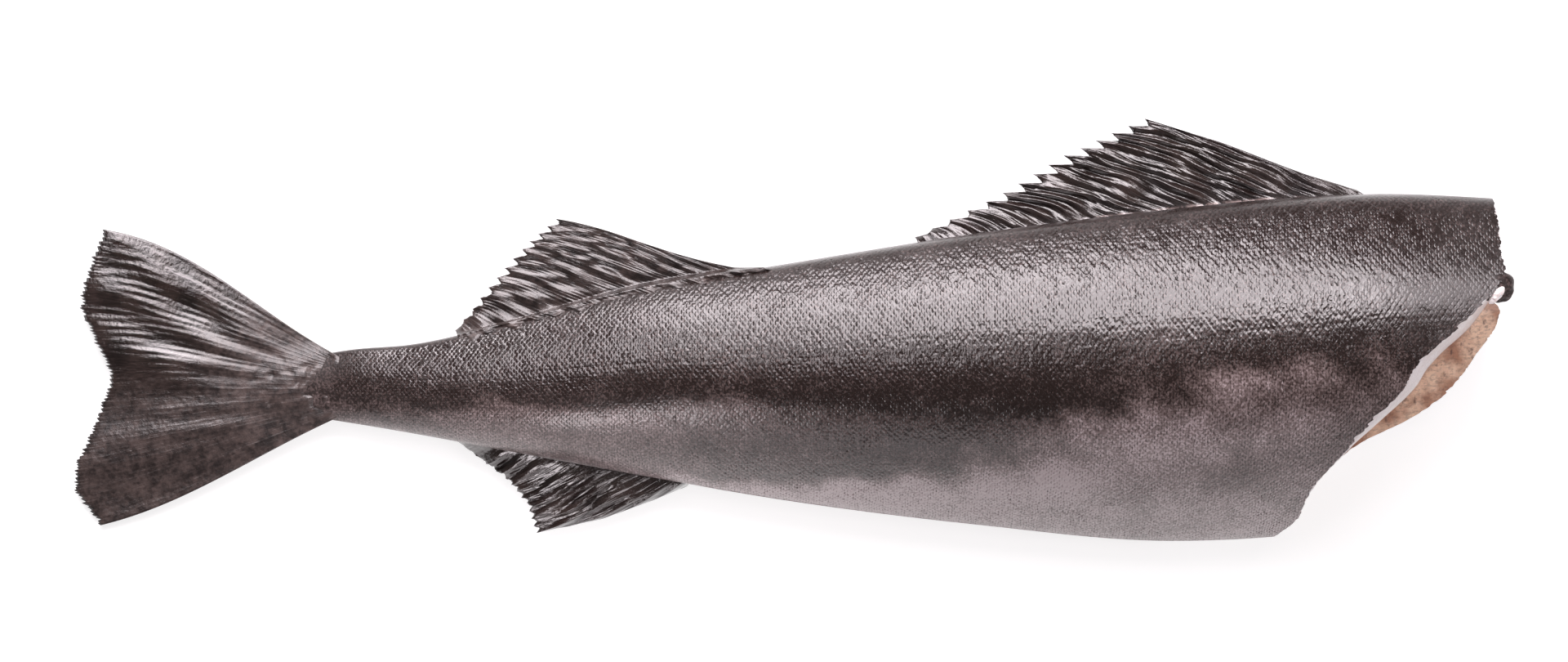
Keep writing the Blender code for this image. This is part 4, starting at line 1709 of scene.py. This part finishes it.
@dataclass
class CollarKnob:
    """Hooked knob of dark skin at the lower end of the nape cut, and the bare white tip on it."""

    centre: Triple = (290.6, 18.0, 69.4)
    radii: Triple = (7.2, 6.6, 5.9)
    tip_centre: Triple = (289.7, 14.3, 75.6)
    tip_radii: Triple = (3.8, 1.9, 1.7)
    tip_turn: float = 45.0          # degrees
    rings: int = 90
    meridians: int = 160
    scale_size: Pair = (2.9, 2.0)

    def ball(self, centre: Triple, radii: Triple, turn: float,
             lumps: float, seed: int) -> Sheet:
        """Uneven ball: latitude by longitude, its radius changed by soft waves.

        Args:
            centre: middle in millimetres.
            radii: half sizes along x, y and z, before the turn.
            turn: turn about z in degrees.
            lumps: height of the waves as a share of the radius.
            seed: seed of the waves.

        Returns:
            The ball as a grid whose first and last rows are its poles.
        """
        angles = (np.linspace(0.0, math.pi, self.rings), np.linspace(0.0, 2.0 * math.pi, self.meridians))
        rise, turned = np.meshgrid(*angles, indexing="ij")
        way = np.stack((np.sin(rise) * np.cos(turned), np.sin(rise) * np.sin(turned), np.cos(rise)), axis=-1)
        size = 1.0 + lumps * waves(way, 1.6, seed) + 0.4 * lumps * waves(way, 0.6, seed + 1)
        around = way * size[..., None] * np.array(radii)
        angle = math.radians(turn)
        x = around[..., 0] * math.cos(angle) - around[..., 1] * math.sin(angle)
        y = around[..., 0] * math.sin(angle) + around[..., 1] * math.cos(angle)
        points = np.array(centre) + np.stack((x, y, around[..., 2]), axis=-1)
        full = np.ones(rise.shape)
        values = {"tone": 0.12 + 0.10 * waves(points, 4.0, seed + 2), "dry": full, "plain": full}
        return Sheet(points, values, {"scales": points[..., :2] / np.array(self.scale_size)})

    def build(self) -> None:
        """Makes the knob and its white tip."""
        skin = SkinFinish("collar_skin", specular_level=0.3, coat_weight=0.05).material()
        bone = FleshFinish(
            "bare_bone", pale=(0.86, 0.83, 0.82), deep=(0.74, 0.69, 0.68), vein=(0.6, 0.5, 0.48),
            roughness=0.3,
        ).material()
        knob = self.ball(self.centre, self.radii, 0.0, 0.05, 90)
        tip = self.ball(self.tip_centre, self.tip_radii, self.tip_turn, 0.12, 93)
        for name, ball, material, slot in (
            ("collar_knob", knob, skin, Slot.SKIN), ("collar_bone_tip", tip, bone, Slot.FLESH),
        ):
            add_piece(name, open_sheet(name, ball, True), material)


# ---------------------------------------------------------------- studio

@dataclass(frozen=True)
class Softbox:
    """Rectangular soft light around the fish.

    tilt: angle of its upper and lower edge from straight up, towards the back of the fish in
    degrees, or negative towards the belly.  reach: where it starts and ends along the fish.
    turn: angle in degrees by which the whole is then turned around the fish.
    """

    name: str
    tilt: Pair
    reach: Pair
    radiance: float
    distance: float = 1.6
    turn: float = 0.0


@dataclass
class Studio:
    """Pale floor that glows in a painted pool of light around the fish, soft lights and the camera above it.
    """

    camera_height: float = 2.480
    camera_x: float = -0.0008
    camera_y: float = -0.0004
    lens: float = 135.0             # millimetres
    sensor_width: float = 36.0
    floor_half: float = 3.0
    floor_level: float = 0.45
    floor_glow: float = 0.70        # a pool of light painted on the floor as its own glow, with its half sizes and fall in metres
    pool: Pair = (0.40, 0.155)
    pool_fall: float = 0.14
    world_level: float = 0.08
    light_colour: Colour = (1.0, 0.915, 0.945)
    lamp_base: float = 0.04         # height of the line on which the lamps are aimed, in metres
    boxes: tuple[Softbox, ...] = (
        Softbox("tail_softbox_low", (16.0, 36.0), (-0.47, -0.36), 8.0, 0.6),
        Softbox("tail_softbox_middle", (36.0, 58.0), (-0.50, -0.38), 8.0, 0.6),
        Softbox("tail_softbox_high", (58.0, 84.0), (-0.42, -0.295), 8.0, 0.6),
        Softbox("back_softbox_low", (28.5, 56.0), (-0.70, 0.19), 8.5),
        Softbox("back_softbox_tail_side", (56.0, 82.0), (-0.70, -0.38), 11.0),
        Softbox("back_softbox_rear", (56.0, 76.0), (-0.38, -0.15), 11.0),
        Softbox("back_softbox_middle", (56.0, 70.0), (-0.15, 0.05), 10.0),
        Softbox("back_softbox_head_side", (56.0, 61.0), (0.05, 0.19), 8.5),
        Softbox("back_softbox_front", (27.0, 58.0), (0.19, 0.27), 8.5),
        Softbox("back_softbox_shoulder", (24.0, 54.0), (0.27, 0.50), 9.0),
        Softbox("back_softbox_nape", (26.0, 48.0), (0.50, 1.20), 4.0),
        Softbox("head_side_core", (27.0, 44.0), (0.26, 0.46), 4.5, 1.5),
        Softbox("tail_side_strip", (6.0, 24.0), (-0.66, -0.36), 5.0),
        Softbox("belly_fill", (-94.0, -78.0), (-1.2, 1.2), 1.6),
        Softbox("anal_fin_strip", (-77.0, -57.0), (-0.175, -0.095), 8.0, 0.194),
        Softbox("cut_fill", (44.0, 70.0), (-0.10, 0.60), 6.3, 1.5, -90.0),
    )

    def light(self, box: Softbox) -> None:
        """Adds one soft light, which faces the fish.

        Args:
            box: its angles, reach and brightness.
        """
        low, high = (math.radians(angle) for angle in box.tilt)
        middle, half = 0.5 * (low + high), 0.5 * (high - low)
        data = bpy.data.lights.new(box.name, "AREA")
        data.shape = "RECTANGLE"
        data.size = box.reach[1] - box.reach[0]
        data.size_y = 2.0 * box.distance * math.tan(half)
        data.energy = box.radiance * math.pi * data.size * data.size_y
        data.color = self.light_colour
        lamp = add_object(box.name, data)
        turn = math.radians(box.turn)
        along, out = 0.5 * (box.reach[0] + box.reach[1]), box.distance * math.sin(middle)
        lamp.location = (
            along * math.cos(turn) - out * math.sin(turn),
            along * math.sin(turn) + out * math.cos(turn),
            self.lamp_base + box.distance * math.cos(middle),
        )
        lamp.rotation_euler = (-middle, 0.0, turn)

    def build(self) -> None:
        """Makes the floor, lights, world and camera."""
        # the floor glows in a soft pool around the fish: painted light, not light from the lamps
        make = NodeMaker("pale_floor_painted_glow")
        over = [
            make.math("MAXIMUM", make.math("ABSOLUTE", way) - half, 0.0)
            for way, half in zip(make.split(make.place()), self.pool)
        ]
        away = make.math("SQRT", over[0] * over[0] + over[1] * over[1])
        level = self.floor_level
        floor_material = make.finish(
            Base_Color=(level, level, level, 1.0), Roughness=0.9,
            Specular_IOR_Level=0.0, Emission_Color=WHITE,
            Emission_Strength=make.ramp(away, 0.0, self.pool_fall, self.floor_glow, 0.0))
        half = self.floor_half
        mesh = bpy.data.meshes.new("floor")
        corners = [(-half, -half, 0.0), (half, -half, 0.0), (half, half, 0.0), (-half, half, 0.0)]
        mesh.from_pydata(corners, [], [(0, 1, 2, 3)])
        mesh.materials.append(floor_material)
        floor = add_object("floor", mesh)
        for box in self.boxes:
            self.light(box)
        world = bpy.data.worlds.new("studio_world")
        world.use_nodes = True
        background = world.node_tree.nodes["Background"]
        background.inputs["Color"].default_value = WHITE
        background.inputs["Strength"].default_value = self.world_level
        bpy.context.scene.world = world
        data = bpy.data.cameras.new("camera")
        data.lens = self.lens
        data.sensor_width = self.sensor_width
        data.clip_end = 20.0
        camera = add_object("camera", data)
        camera.location = (self.camera_x, self.camera_y, self.camera_height)
        bpy.context.scene.camera = camera
        bpy.context.scene.view_settings.view_transform = "Standard"


def main() -> None:
    """Builds the fish piece by piece, then the studio."""
    logging.basicConfig(level=logging.INFO, format="%(name)s %(message)s")
    form = BodyForm()
    ScaledSkin(form).build()
    CutEnd(form).build()
    fin_material = FinFinish().material()
    for fin in fins():
        fin.build(form, fin_material)
    CollarKnob().build()
    Studio().build()


if __name__ == "__main__":
    main()
